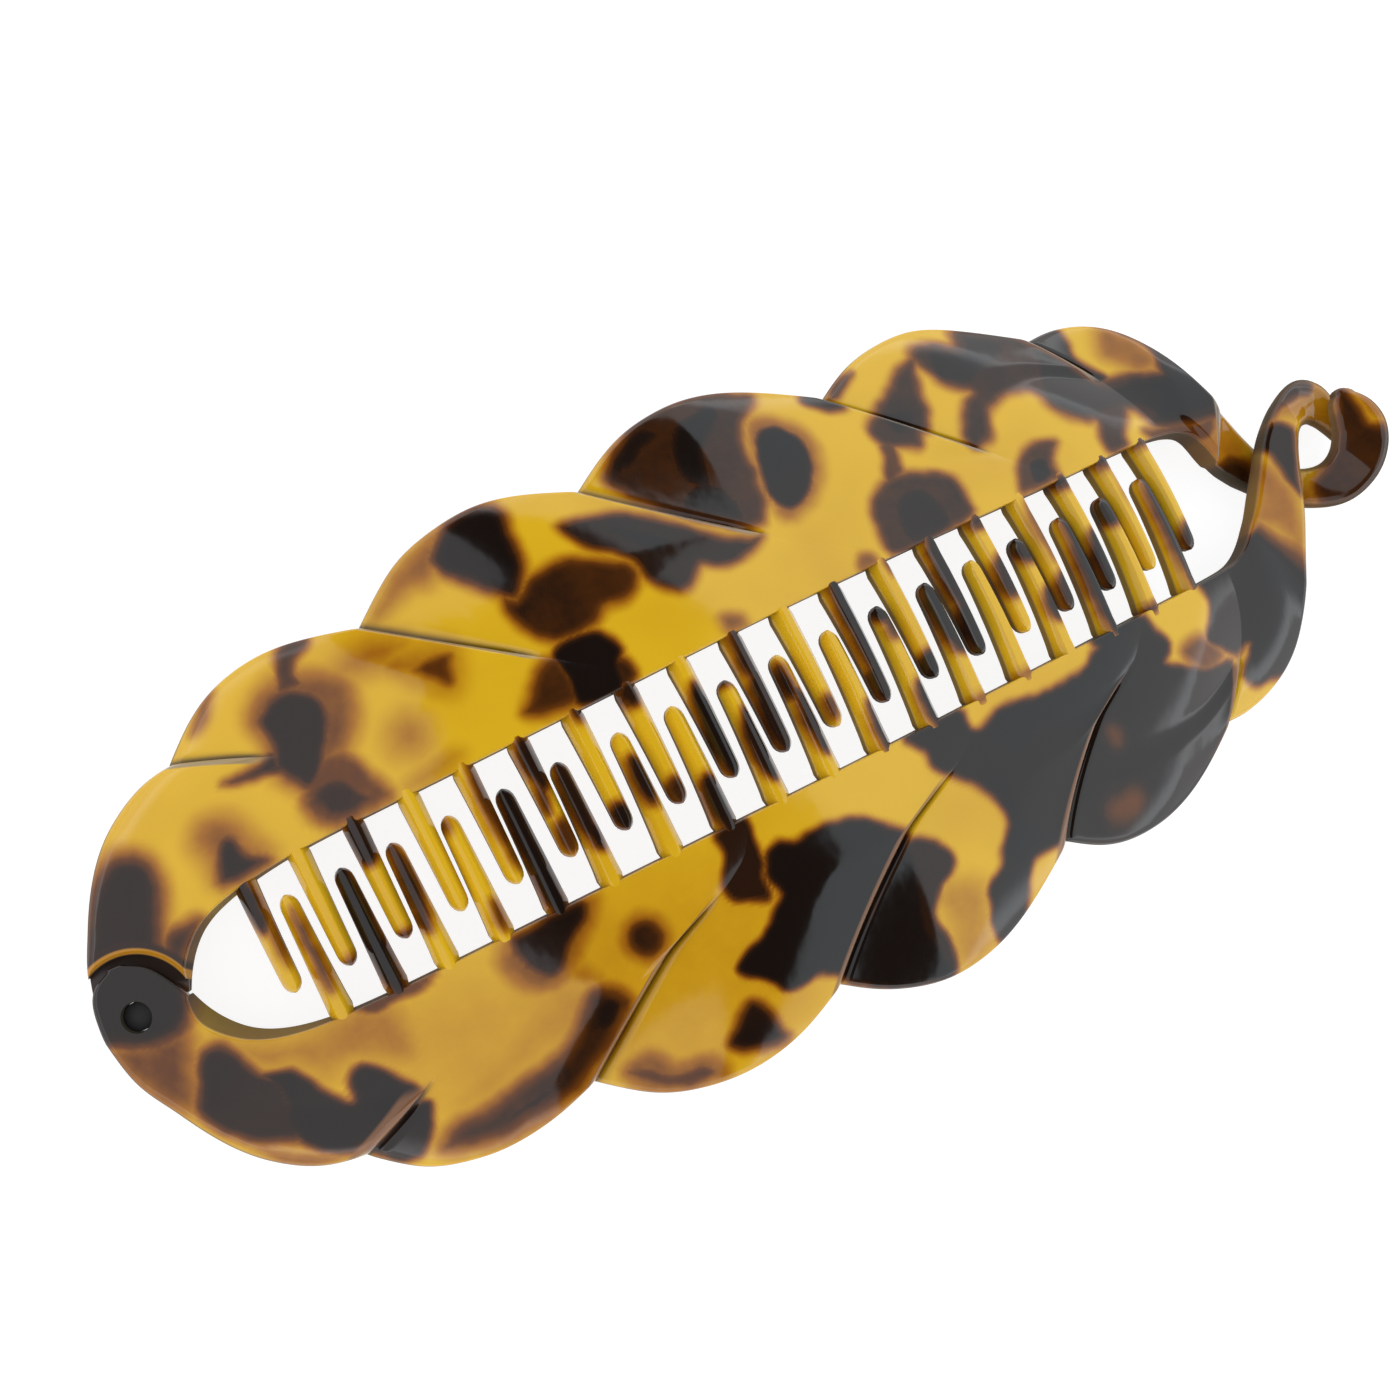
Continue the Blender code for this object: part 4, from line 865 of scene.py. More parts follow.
def shell_columns(rim, inner, arm, ear, sizes):
    """Every cross-section of one shell from the hinge to the hook, as rows of u, outer s, outer y, inner s,
    inner y, bow, lift, arm share, lobe, shoulder, distance past the last step and distance to the next."""
    rows = []
    bows = inner
    smooth_arm = arm[0, 0] > LOBES + 0.1
    if smooth_arm:
        inner = np.vstack([inner[:, :3], arm[:, (0, 3, 4)]])
    if len(ear):
        # The rows past the hinge are spread out, so that both edges run on evenly.
        spread = (4.0, 1.0, 1.0)
        outer = np.vstack([ear[:, :3], rim[:4, :3] * spread])
        near = np.vstack([ear[:, (0, 3, 4)], inner[:4, :3] * spread])
        for u in np.linspace(-1.0, -0.03, EAR_SECTIONS):
            edges = (float(value[0]) for value in edge_points(outer, near, u))
            rows.append((u, *edges, 0, 0, 0, -1, 1, FAR, FAR))
    for lobe in range(LOBES):
        table = lobe_table(rim, lobe)[:, :3]
        length = float(np.sum(np.hypot(np.diff(table[:, 1]), np.diff(table[:, 2]))))
        last = lobe == LOBES - 1
        crease = not last or not smooth_arm
        if not crease:
            table = np.vstack([table, arm[:, :3]])
        edge = sizes.lobe_edge / length
        foot = np.linspace(0.0, FOOT_REACH, FOOT_SECTIONS)[:-1] / length
        fine = np.concatenate([foot, np.linspace(FOOT_REACH / length, 1.0 - edge, LOBE_SECTIONS)])
        if crease:
            part = np.linspace(0.0, 1.0, BEVEL_SECTIONS)[1:]
            f = np.concatenate([fine, 1.0 - edge + edge * 0.97 * part, [1.0 - edge * 0.012]])
            shoulder = np.concatenate([np.ones(len(fine)), 1.0 - 0.72 * part ** 1.7, [0.0]])
        else:
            f = np.concatenate([fine, np.linspace(1.0 - edge, 1.0, 4)[1:-1]])
            shoulder = np.ones(len(f))
        u = lobe + f
        same = np.ones(len(f))
        bow = np.interp(u, bows[:, 0], bows[:, 3])
        past = f * length if lobe else same * FAR
        # The underside of the upper half's last lobe comes down to meet the arm.
        drop = arm[0, 5] * smooth((f - 0.3) / 0.7) if last and not smooth_arm else same * 0.0
        edges = edge_points(table, inner, u)
        rows += zip(u, *edges, bow, drop, same * 0.0, same * lobe, shoulder, past, (1.0 - f) * length)
    joined = table if smooth_arm else arm[:, :3]
    near = inner if smooth_arm else arm[:, (0, 3, 4)]
    for u in np.linspace(max(float(LOBES), arm[0, 0]), HOOK_END, ARM_SECTIONS):
        edges = (float(value[0]) for value in edge_points(joined, near, u))
        lift = float(np.interp(u, arm[:, 0], arm[:, 5]))
        rows.append((u, *edges, 0, lift, float(smooth((u - 5.9) / 0.5)), -1, 1, FAR, FAR))
    return np.array(rows)


def shell_loops(columns, inner, sizes, lip):
    """Closed loops of all the cross-sections, as an array of s, y, h and lift in millimetres, with how much
    painted shade each point takes in the crease of a groove, and how much painted reflection on the bevel
    beside it. Only the lower half has a lip."""
    u, os, oy, ins, iny, bow, lift, arm, lobe, shoulder, past, ahead = (
        columns[:, i:i + 1] for i in range(columns.shape[1]))
    lower = lip > 0.0
    outer = np.stack([os, oy], axis=-1)
    near_edge = np.stack([ins, iny], axis=-1)
    width = np.hypot(os - ins, oy - iny)
    # Rounding of the slot's edge and of the rim, at most a share of the width
    most = (0.3 + 0.16 * arm) * width
    near = np.minimum(SLOT_ROUND + (sizes.arm_round - SLOT_ROUND) * arm, most)
    far = np.minimum(sizes.edge_round + (sizes.arm_round - sizes.edge_round) * arm, most)
    # How far the slot's wall leans back at its top, most of all beside the ear
    body = smooth((u + 0.35) / 0.35)
    lean = smooth((u + 0.12) / 0.34) * (1.0 - smooth((u - 0.2) / 0.6))
    slant = SLOT_SLANT * (1.0 - arm) + (LOWER_EAR_SLANT if lower else UPPER_EAR_SLANT) * lean
    # Thickness along the slot and along the rim
    fresh = (1.0 - smooth(u)) * (u < 1.0)
    wall = sizes.wall - ARM_THINNING * arm + (sizes.ear_wall - sizes.wall) * fresh
    fresh = (1.0 - smooth(u / 0.5)) * (u < 1.0)
    rim_wall = sizes.rim_wall + ARM_RIM_THICKENING * arm + (sizes.ear_wall - sizes.rim_wall) * fresh
    # Rounding below, and how far the slot's wall is tucked in there
    under = UNDER_ROUND + ARM_UNDER_ROUND * arm + EAR_UNDER_ROUND * (1.0 - smooth(u / 0.45)) * body
    under = np.minimum(under, 0.4 * width)
    tuck = SLOT_TUCK * (1.0 - arm) * smooth(u / 0.8)
    one = np.ones_like(width)
    turn = np.linspace(0.0, math.pi / 2.0, ROUND_POINTS)[None, :]
    row = np.linspace(0.0, 1.0, TOP_POINTS)[None, 1:-1]
    foot = np.linspace(1.0, 0.0, UNDER_POINTS)[None, 1:-1]
    distance = np.concatenate([
        slant + near * (1.0 - np.cos(turn)),
        slant + near + row * (width - slant - near - far),
        width - far + far * np.sin(turn),
        width * one,
        width - under * (1.0 - np.cos(turn[:, ::2])),
        tuck + under + foot * (width - 2.0 * under - tuck),
        tuck + under * (1.0 - np.sin(turn[:, ::2])),
    ], axis=1)
    share = (under + foot * (width - 2.0 * under)) / width
    h = np.concatenate([
        -near * (1.0 - np.sin(turn)),
        0.0 * row * one,
        -far * (1.0 - np.cos(turn)),
        -(far + rim_wall - under) / 2.0,
        -rim_wall + under - under * np.sin(turn[:, ::2]),
        -(rim_wall * share + wall * (1.0 - share)),
        -wall + under * (1.0 - np.cos(turn[:, ::2])),
    ], axis=1)
    on_top = (np.arange(distance.shape[1]) < ROUND_POINTS + row.shape[1] + ROUND_POINTS)[None, :]
    # v runs from the inner edge to the rim along the section's bow
    v = distance / width
    middle = (outer + near_edge) / 2.0 + np.stack([2.0 * bow, 0.0 * bow], axis=-1)
    v3 = v[:, :, None]
    flat = (1 - v3) ** 2 * near_edge + 2 * v3 * (1 - v3) * middle + v3 ** 2 * outer
    s, y = flat[:, :, 0], flat[:, :, 1]
    if lower:
        start = np.interp(u, inner[:, 0], inner[:, 5])
        hook = np.interp(u, *GROOVE_HOOKS)
        s = s + hook * (1.0 - smooth((v - start + 0.03) / 0.24)) * smooth(v / 0.24)
    # Each lobe climbs to the step at its end, swells a little and dips in the groove where it starts
    f = np.where(lobe >= 0, u - lobe, 0.0)
    depth, end = (np.interp(lobe[:, 0] + 1.0, inner[:, 0], inner[:, i])[:, None] for i in (4, 5))
    share = 0.4 * smooth((v - end) / 0.15) + 0.6 * smooth((v - end) / (0.95 - end))
    step = depth * share * smooth(f / np.where(lobe == 0, 0.95, 0.6)) * shoulder
    swell = sizes.dome * np.sin(math.pi * f) * 4.0 * v * (1.0 - v)
    before, start = (np.interp(np.round(lobe[:, 0]), inner[:, 0], inner[:, i])[:, None] for i in (4, 5))
    open_here = smooth((v - start) / 0.15) * (before > LEAST_STEP)
    groove = sizes.groove_depth * np.exp(-(past / sizes.groove_width) ** 2)
    cut = (groove + lip * (1.0 - smooth(past / LIP_REACH))) * open_here
    relief = np.where(lobe >= 0, step + swell - cut - lift, 0.0) * on_top
    # Painted reflection: bevel marks each step's rounded shoulder, and on the lower half a strip before it,
    # which the material tints as a painted reflection
    strip = smooth((sizes.lobe_edge + sizes.strip * lower - ahead) / 0.25)
    bevel = np.maximum(1.0 - shoulder, strip) * smooth((v - end) / 0.08) * (depth > LEAST_STEP)
    # Painted shade: crease darkens the foot of each step and the hidden wall under each step's shoulder,
    # where shade falls
    dark = np.exp(-(past / CREASE_SHADE_REACH) ** 2) * smooth((v - start) / 0.1) * (before > LEAST_STEP)
    dark = np.maximum(dark, np.where(shoulder < 0.3, smooth((v - end) / 0.1), 0.0) * (depth > LEAST_STEP))
    crease = np.where(lobe >= 0, dark, 0.0) * on_top
    bevel = np.where(lobe >= 0, bevel, 0.0) * on_top
    # The ear's top is flat around the hinge
    raised = lift + relief
    level = 1.0 - smooth((np.hypot(s, y) - sizes.flat_radius) / HINGE_FLAT_FADE)
    level = np.where(on_top & (u < 2.0), level, 0.0)
    flat_lift = s * s / (2.0 * ARCH_RADIUS) + sag(s, y)
    raised = raised * (1.0 - level) + flat_lift * level
    return np.stack([s, y, h, raised, crease, bevel], axis=-1)


def ring_faces(rings, count, first):
    """Faces between rings of count vertices each, numbered on from the first."""
    faces = []
    for base in range(first, first + (rings - 1) * count, count):
        for j in range(count):
            k = (j + 1) % count
            faces.append((base + j, base + k, base + count + k, base + count + j))
    return faces


def rounded_end(loop, before, depth):
    """Shrinking rings that close a loop with a rounded end."""
    centre = loop.mean(axis=0)
    ahead = centre - before.mean(axis=0)
    ahead = np.append(ahead[:4] / np.linalg.norm(ahead[:3]), (0.0, 0.0))
    rings = []
    for degrees in (25.0, 48.0, 68.0, 82.0):
        turn = math.radians(degrees)
        rings.append(centre + (loop - centre) * math.cos(turn) + ahead * depth * math.sin(turn))
    return rings, centre + ahead * depth


def keep_values(mesh, name, values, kind="FLOAT"):
    """Keeps a value or a vector for every vertex as an attribute."""
    field = "vector" if kind == "FLOAT_VECTOR" else "value"
    data = mesh.attributes.new(name, kind, "POINT").data
    data.foreach_set(field, np.asarray(values, np.float32).ravel())


def skinned(name, loops, start_depth, end_depth):
    """A closed flat mesh through the loops, with its lift and side kept as attributes, and crease and bevel
    as the masks of its painted shade and painted reflection.
    """
    first, first_pole = rounded_end(loops[0], loops[1], start_depth)
    last, last_pole = rounded_end(loops[-1], loops[-3], end_depth)
    rings = [first_pole] + first[::-1] + list(loops) + last + [last_pole]
    count = loops.shape[1]
    points = np.vstack([ring.reshape(-1, 6) for ring in rings])
    body = len(rings) - 2
    faces = ring_faces(body, count, 1)
    tail = 1 + (body - 1) * count
    pole = len(points) - 1
    for j in range(count):
        k = (j + 1) % count
        faces.append((0, 1 + k, 1 + j))
        faces.append((pole, tail + j, tail + k))
    mesh = bpy.data.meshes.new(name)
    mesh.from_pydata((points[:, :3] * MM).tolist(), [], faces)
    keep_values(mesh, "lift", points[:, 3] * MM)
    keep_values(mesh, "side", points[:, 2])
    keep_values(mesh, "crease", points[:, 4])
    keep_values(mesh, "bevel", points[:, 5])
    return mesh


def circle(sides):
    """A round outline of radius 1."""
    turns = [2 * math.pi * k / sides for k in range(sides)]
    return [(math.cos(turn), math.sin(turn)) for turn in turns]


def turned_solid(name, rings, outline):
    """A closed solid about the hinge axis, through rows of h and the size of its outline there."""
    work = bmesh.new()
    loops = [[work.verts.new(hinge_point(s * size, y * size, h)) for s, y in outline] for h, size in rings]
    for low, high in zip(loops, loops[1:]):
        for j in range(len(low)):
            k = (j + 1) % len(low)
            work.faces.new((low[j], low[k], high[k], high[j]))
    for loop in (loops[0], loops[-1]):
        work.faces.new(loop)
    bmesh.ops.recalc_face_normals(work, faces=work.faces[:])
    mesh = bpy.data.meshes.new(name)
    work.to_mesh(mesh)
    work.free()
    return mesh


def carve(mesh, tool, operation="DIFFERENCE"):
    """The mesh with a tool solid cut out of it or joined to it."""
    obj = bpy.data.objects.new("carved", mesh)
    cutter = bpy.data.objects.new("cutter", tool)
    for one in (obj, cutter):
        bpy.context.scene.collection.objects.link(one)
    change = obj.modifiers.new("carve", "BOOLEAN")
    change.object = cutter
    change.operation = operation
    change.solver = "EXACT"
    result = evaluated_mesh(obj)
    obj.modifiers.remove(change)
    for one in (obj, cutter):
        bpy.data.objects.remove(one)
    return result


def clean_normals(mesh):
    """Merges doubled vertices and turns every face outwards."""
    work = bmesh.new()
    work.from_mesh(mesh)
    bmesh.ops.remove_doubles(work, verts=work.verts[:], dist=1e-7)
    bmesh.ops.recalc_face_normals(work, faces=work.faces[:])
    work.to_mesh(mesh)
    work.free()
    return mesh


def add_chart(mesh):
    """Keeps every point's s, y and height over the arch surface, in millimetres, in the attribute chart."""
    points = np.zeros(len(mesh.vertices) * 3)
    mesh.vertices.foreach_get("co", points)
    points = points.reshape(-1, 3) / MM
    x = points[:, 0] + ORIGIN[0]
    y = points[:, 1] + ORIGIN[1]
    z = points[:, 2] - ORIGIN[2]
    chart = np.zeros((len(points), 3))
    batch = 20000
    for start in range(0, len(points), batch):
        part = slice(start, start + batch)
        gap = (x[part, None] - ARCH_X[None, :]) ** 2 + (z[part, None] - ARCH_Z[None, :]) ** 2
        near = np.argmin(gap, axis=1)
        dx = x[part] - ARCH_X[near]
        dz = z[part] - ARCH_Z[near]
        slope = ARCH_SLOPE[near]
        s = ARCH_S[near] + dx * np.cos(slope) - dz * np.sin(slope)
        h = dx * np.sin(slope) + dz * np.cos(slope)
        chart[part, 0] = s
        chart[part, 1] = y[part]
        chart[part, 2] = h + sag(s, y[part])
    keep_values(mesh, "chart", chart, "FLOAT_VECTOR")


def finish_piece(name, mesh, body, look, nodes=(), crease=38.0, clouds=()):
    """Makes the finished object of a piece, ties it to its body and its finish, and hides the CAD nodes it
    stands in for.
    """
    clean_normals(mesh)
    add_chart(mesh)
    add_clouds(mesh, clouds, bpy.context.scene.hair_clip_finish)
    mesh.name = name
    mesh.materials.clear()
    mesh.materials.append(look)
    mesh.polygons.foreach_set("use_smooth", [True] * len(mesh.polygons))
    mesh.polygons.foreach_set("material_index", [0] * len(mesh.polygons))
    mesh.set_sharp_from_angle(angle=math.radians(crease))
    obj = bpy.data.objects.new(name, mesh)
    bpy.context.scene.collection.objects.link(obj)
    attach(obj, body)
    if nodes:
        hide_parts(*nodes)


def tooth_mesh(table, ring):
    """One flat tooth about s = 0, from its root inside the shell to its rounded tip."""
    most = 0.45
    y = [table[0, 0]]
    for a, b in zip(table[:-1, 0], table[1:, 0]):
        parts = max(1, int(round(abs(b - a) / most)))
        y += [a + (b - a) * (i + 1) / parts for i in range(parts)]
    y = np.array(y)
    order = np.argsort(table[:, 0])
    half, top, foot = (np.interp(y, table[order, 0], table[order, c]) for c in (1, 2, 3))
    count = len(ring)
    points = [(across * half[i] * MM, y[i] * MM, (foot[i] + up * (top[i] - foot[i])) * MM)
              for i in range(len(y)) for across, up in ring]
    faces = ring_faces(len(y), count, 0)
    faces.append(tuple(range(count)))
    faces.append(tuple((len(y) - 1) * count + j for j in range(count)))
    mesh = bpy.data.meshes.new("tooth")
    mesh.from_pydata(points, [], faces)
    keep_values(mesh, "side", [point[2] / MM for point in points])
    return clean_normals(mesh)


def closed_curve(points, steps):
    """A finer closed outline through the points, by uniform cubic steps."""
    out = []
    count = len(points)
    for i in range(count):
        a, b, c, d = (np.array(points[(i + k) % count]) for k in (-1, 0, 1, 2))
        for t in np.arange(steps) / steps:
            square = (2 * a - 5 * b + 4 * c - d) * t ** 2
            cube = (3 * b - a - 3 * c + d) * t ** 3
            out.append(0.5 * (2 * b + (c - a) * t + square + cube))
    return [tuple(p) for p in out]


# Finishes

def inset(points, corners):
    """How far each point lies inside a closed outline, negative outside it."""
    gap = np.full(len(points), 1e9)
    inside = np.zeros(len(points), bool)
    x, y = points[:, 0], points[:, 1]
    for (ax, ay), (bx, by) in zip(corners, np.roll(corners, -1, axis=0)):
        dx, dy = bx - ax, by - ay
        along = np.clip(((x - ax) * dx + (y - ay) * dy) / (dx ** 2 + dy ** 2), 0.0, 1.0)
        gap = np.minimum(gap, np.hypot(x - ax - along * dx, y - ay - along * dy))
        if ay != by:
            inside ^= ((ay > y) != (by > y)) & (x < ax + (y - ay) * dx / dy)
    return np.where(inside, gap, -gap)


def add_clouds(mesh, clouds, looks):
    """Lays the table's clouds one after another, with their edges swirled a little, and keeps their depth at
    every point in the attribute clouds."""
    chart = np.zeros(len(mesh.vertices) * 3)
    mesh.attributes["chart"].data.foreach_get("vector", chart)
    chart = chart.reshape(-1, 3)
    place = chart[:, :2].copy()
    noise.seed_set(CLOUD_SEED)
    finer = 3.4
    for i, (s, y) in enumerate(chart[:, :2]):
        broad = noise.noise_vector(Vector((s, y, 0.0)) * looks.cloud_swirl)
        fine = noise.noise_vector(Vector((s, y, 7.0)) * looks.cloud_swirl * finer)
        place[i, 0] += broad.x * looks.cloud_drift + fine.x * looks.cloud_shiver
        place[i, 1] += broad.y * looks.cloud_drift + fine.y * looks.cloud_shiver
    depth = np.zeros(len(place))
    for depth_here, edge, outline in clouds:
        blur = edge * looks.cloud_blur
        corners = np.array(closed_curve(outline, 3))
        low, high = corners.min(axis=0) - blur, corners.max(axis=0) + blur
        near = np.flatnonzero(((place > low) & (place < high)).all(axis=1))
        cloud = abs(depth_here) * smooth(0.5 + inset(place[near], corners) / (2.0 * blur))
        if depth_here < 0.0:
            depth[near] *= 1.0 - cloud
        else:
            depth[near] = np.maximum(depth[near], cloud)
    keep_values(mesh, "clouds", depth)


def new_material(name):
    """An empty material and the bench for its nodes."""
    made = bpy.data.materials.new(name)
    made.use_nodes = True
    made.node_tree.nodes.clear()
    return made, Bench(made.node_tree)


def kept_value(bench, name, output="Fac"):
    """What the mesh keeps for every point under this name."""
    return bench.node("ShaderNodeAttribute", {"attribute_name": name}, output=output)


def speckle(bench, place, scale, detail=2.0):
    """Soft noise between 0 and 1. The scale is its fineness for each millimetre."""
    return bench.node("ShaderNodeTexNoise", None, {"Vector": place, "Scale": scale, "Detail": detail})


def tortoiseshell(name, looks, bevel_reflection_tint, wall, ring=False):
    """Glossy amber resin with the mesh's own clouds in it, painted shade in the creases and painted
    reflection on the bevels. The sides take painted shade below the height wall, and ring adds painted shade
    in the hinge's recess and a painted highlight on its lip."""
    made, bench = new_material(name)
    chart = kept_value(bench, "chart", "Vector")
    clouds = kept_value(bench, "clouds")
    crease = kept_value(bench, "crease")
    bevel = kept_value(bench, "bevel")
    h = kept_value(bench, "side")
    level = bench.vector("MULTIPLY", chart, (1.0, 1.0, 0.0))
    tone = speckle(bench, level, scale=0.07)
    patch = speckle(bench, level, scale=0.35, detail=3.0)
    grain = speckle(bench, level, scale=1.3)
    between = clouds * (1.0 - clouds) * 4.0
    depth = clouds + ((patch - 0.5) * looks.patchy + (grain - 0.5) * looks.grain) * between
    depth = depth + bench.fade(tone, 0.45, 0.75) * looks.drift
    body = bench.node("ShaderNodeValToRGB", {"stops": (
        (0.0, looks.amber),
        (0.14, looks.deep_amber),
        (0.36, looks.honey),
        (0.6, looks.brown),
        (0.84, looks.dark),
        (1.0, looks.black),
    )}, {0: depth})
    # Painted reflection on the bevels before each step
    body = bench.mix(bevel * looks.bevel_share, body, colour(bevel_reflection_tint))
    # Painted shade in the creases at the foot of each step, darkened towards near black
    almost = 0.9
    body = bench.mix(crease * almost, body, colour(looks.black))
    # Painted shade on the sides below the height wall, which also turn rougher
    side_shade_fade = 0.35
    edge = bench.fade(h, wall, wall - side_shade_fade)
    body = bench.mix(edge * looks.edge_share, body, colour(looks.edge))
    if ring:
        # Radii about the hinge between which the painted shade of the recess and the painted highlight on its
        # lip fade
        seat_shade_fade, lip_inside, lip_outside = (6.9, 6.4), (5.5, 5.65), (6.2, 6.0)
        reach = bench.vector("LENGTH", level, output="Value")
        # The recess is darkened as painted shade, over the dark clouds already there
        seat = bench.fade(reach, *seat_shade_fade)
        body = bench.mix(seat * almost, body, colour(looks.dark))
        # Painted highlight on the lip of the recess
        lip_highlight = bench.fade(reach, *lip_inside) * bench.fade(reach, *lip_outside)
        body = bench.mix(lip_highlight * almost, body, colour(looks.ring))
    grain_matte = 0.04
    rough = looks.roughness + grain * grain_matte + edge * looks.edge_matte
    bump = bench.node("ShaderNodeBump", None, {
        "Strength": looks.ripple,
        "Distance": 0.0002,
        "Height": speckle(bench, chart, scale=0.3),
    })
    shader = bench.node("ShaderNodeBsdfPrincipled", None, {
        "Base Color": body,
        "Roughness": rough,
        "IOR": 1.45,
        "Normal": bump,
    })
    bench.node("ShaderNodeOutputMaterial", None, {"Surface": shader})
    return made


def plain_finish(name, tint, roughness, glow=0.0):
    """One even colour that may glow white."""
    made, bench = new_material(name)
    shader = bench.node("ShaderNodeBsdfPrincipled", None, {
        "Base Color": colour(tint),
        "Roughness": roughness,
        "Emission Color": (1.0, 1.0, 1.0, 1.0),
        "Emission Strength": glow,
    })
    bench.node("ShaderNodeOutputMaterial", None, {"Surface": shader})
    return made


def tooth_clouds(rows, runs):
    """The tooth table's rows as round clouds on the arch."""
    middles = [first + spacing * k for first, spacing, count in runs for k in range(int(count))]
    edge = 0.35
    clouds = []
    for tooth, offset, y, width, length, depth in rows:
        s = middles[int(tooth)] + offset
        turns = np.arange(8) * math.pi / 4.0
        clouds.append((depth, edge, [(s + width * math.cos(t), y + length * math.sin(t)) for t in turns]))
    return clouds


# Settings. Each helper below makes one kind of property.

def length(name, default, description):
    return FloatProperty(name=name, description=description, default=default, min=0.0, precision=5,
                         subtype="DISTANCE", unit="LENGTH")


def number(name, default, description, top, unit="NONE"):
    return FloatProperty(name=name, description=description, default=default, min=0.0, max=top, unit=unit)


def angle(name, degrees, description):
    return FloatProperty(name=name, description=description, default=math.radians(degrees), subtype="ANGLE",
                         unit="ROTATION")


def share(name, default, description):
    return FloatProperty(name=name, description=description, default=default, min=0.0, max=1.0,
                         subtype="FACTOR")


def tint(name, default, description):
    return FloatVectorProperty(name=name, description=description, default=default, size=3, min=0.0,
                               max=1.0, subtype="COLOR")


class HairClipShell(bpy.types.PropertyGroup):
    """Sizes of the two moulded shells."""

    wall: length("Wall", 0.0025, "Thickness of the shell along its inner edge")
    rim_wall: length("Rim Wall", 0.0018, "Thickness of the shell along its lobed rim")
    ear_wall: length("Ear Wall", 0.0030, "Thickness of the shell at the hinge")
    dome: length("Lobe Dome", 0.00045, "How far each lobe swells over the arch")
    edge_round: length("Edge Round", 0.0008, "Rounding of the lobed rim")
    arm_round: length("Arm Round", 0.0011, "Rounding of the clasp arms")
    lobe_edge: length("Lobe Edge", 0.0012, "Width of the bevel where a lobe ends")
    groove_depth: length("Groove Depth", 0.0003, "Depth of the fine groove at the foot of each step")
    groove_width: length("Groove Width", 0.0004, "Width of the fine groove at the foot of each step")
    # The lower half's strip takes the painted reflection of the bevels
    strip: length("Lower Strip", 0.0008, "Width of the tinted strip before each step of the lower half")
    lip: length("Lower Lip", 0.0003, "How far the lower half's lobes dip where they start")
    flat_radius: length("Hinge Flat", 0.0036, "Radius of the flat around the hinge hole")


class HairClipHinge(bpy.types.PropertyGroup):
    """Sizes of the hinge."""

    hole_radius: length("Hole Radius", 0.00135, "Radius of the hole through the ears")
    hole_flare: length("Hole Flare", 0.0001, "How much the hole widens at the top")
    seat_radius: length("Seat Radius", 0.0055, "Radius of the round recess the upper ear turns in")
    seat_flare: length("Seat Flare", 0.0008, "Width of the bevel around the recess")
    pin_radius: length("Pin Radius", 0.0013, "Radius of the plain pin")


class HairClipTeeth(bpy.types.PropertyGroup):
    """Sizes of the comb teeth."""

    upper_first: length("First Upper Tooth", 0.0136, "Distance from the hinge to the first upper tooth")
    upper_spacing: length("Upper Spacing", 0.00549, "Distance between the teeth of the upper half")
    upper_count: IntProperty(name="Upper Teeth", description="Number of teeth on the upper half", default=19,
                             min=1, max=40)
    ridge: share("Ridge", 0.4, "Share of a tooth's width that is flat on top")
    flank: share("Flank", 0.42, "Share of a tooth's height taken by its sloping flanks")


class HairClipFinish(bpy.types.PropertyGroup):
    """Colours and gloss of the resin, and the painted shade, reflections and highlights laid over it."""

    amber: tint("Amber", (0.585, 0.335, 0.010), "Clear amber of the resin")
    deep_amber: tint("Deep Amber", (0.47, 0.235, 0.006), "Darker amber it drifts to")
    honey: tint("Honey", (0.30, 0.105, 0.004), "Thin clouds")
    brown: tint("Brown", (0.105, 0.028, 0.002), "Middling clouds")
    dark: tint("Dark", (0.018, 0.006, 0.002), "Deep clouds")
    black: tint("Near Black", (0.006, 0.003, 0.002), "Deepest clouds")
    # Painted shade on the sides of the shells and on the lower flanks of the teeth
    edge: tint("Edge", (0.05, 0.036, 0.016), "Tone of the sides, where the resin is seen edge on")
    edge_share: share("Edge Share", 0.72, "How strongly the sides take that tone")
    edge_matte: share("Edge Roughness", 0.8, "How much rougher the sides are than the polished resin")
    # Painted highlight on the lip around the hinge recess
    ring: tint("Ring", (0.40, 0.17, 0.01), "Bright lip around the hinge recess")
    # Painted reflection on the bevels before each step, for each half
    bevel_share: share("Bevel Share", 0.8, "How strongly the bevels take their tone")
    lower_bevel: tint("Lower Bevel", (0.185, 0.08, 0.035), "Tone of the bevels on the lower half")
    upper_bevel: tint("Upper Bevel", (0.20, 0.15, 0.10), "Tone of the bevels on the upper half")
    roughness: share("Roughness", 0.07, "Roughness of the polished resin")
    ripple: share("Ripple", 0.1, "Strength of the slight unevenness of the surface")
    drift: share("Tone Drift", 0.07, "How far the amber drifts from clear to deep")
    patchy: share("Patchiness", 0.2, "How uneven the clouds are inside")
    grain: share("Grain", 0.06, "How finely uneven the clouds are inside")
    cloud_blur: number("Cloud Blur", 2.1, "Softness of the cloud edges against the tables' own", 5.0)
    cloud_swirl: number("Cloud Swirl", 0.22, "Fineness of the swirls, for each millimetre", 5.0)
    cloud_drift: number("Cloud Drift", 0.3, "How far the swirls shift a cloud, in millimetres", 10.0)
    cloud_shiver: number("Cloud Shiver", 0.16, "How ragged the cloud edges are, in millimetres", 10.0)
    # The pin is kept near black, standing in for the shade down the hinge hole
    pin: tint("Pin", (0.006, 0.005, 0.005), "Plain pin")


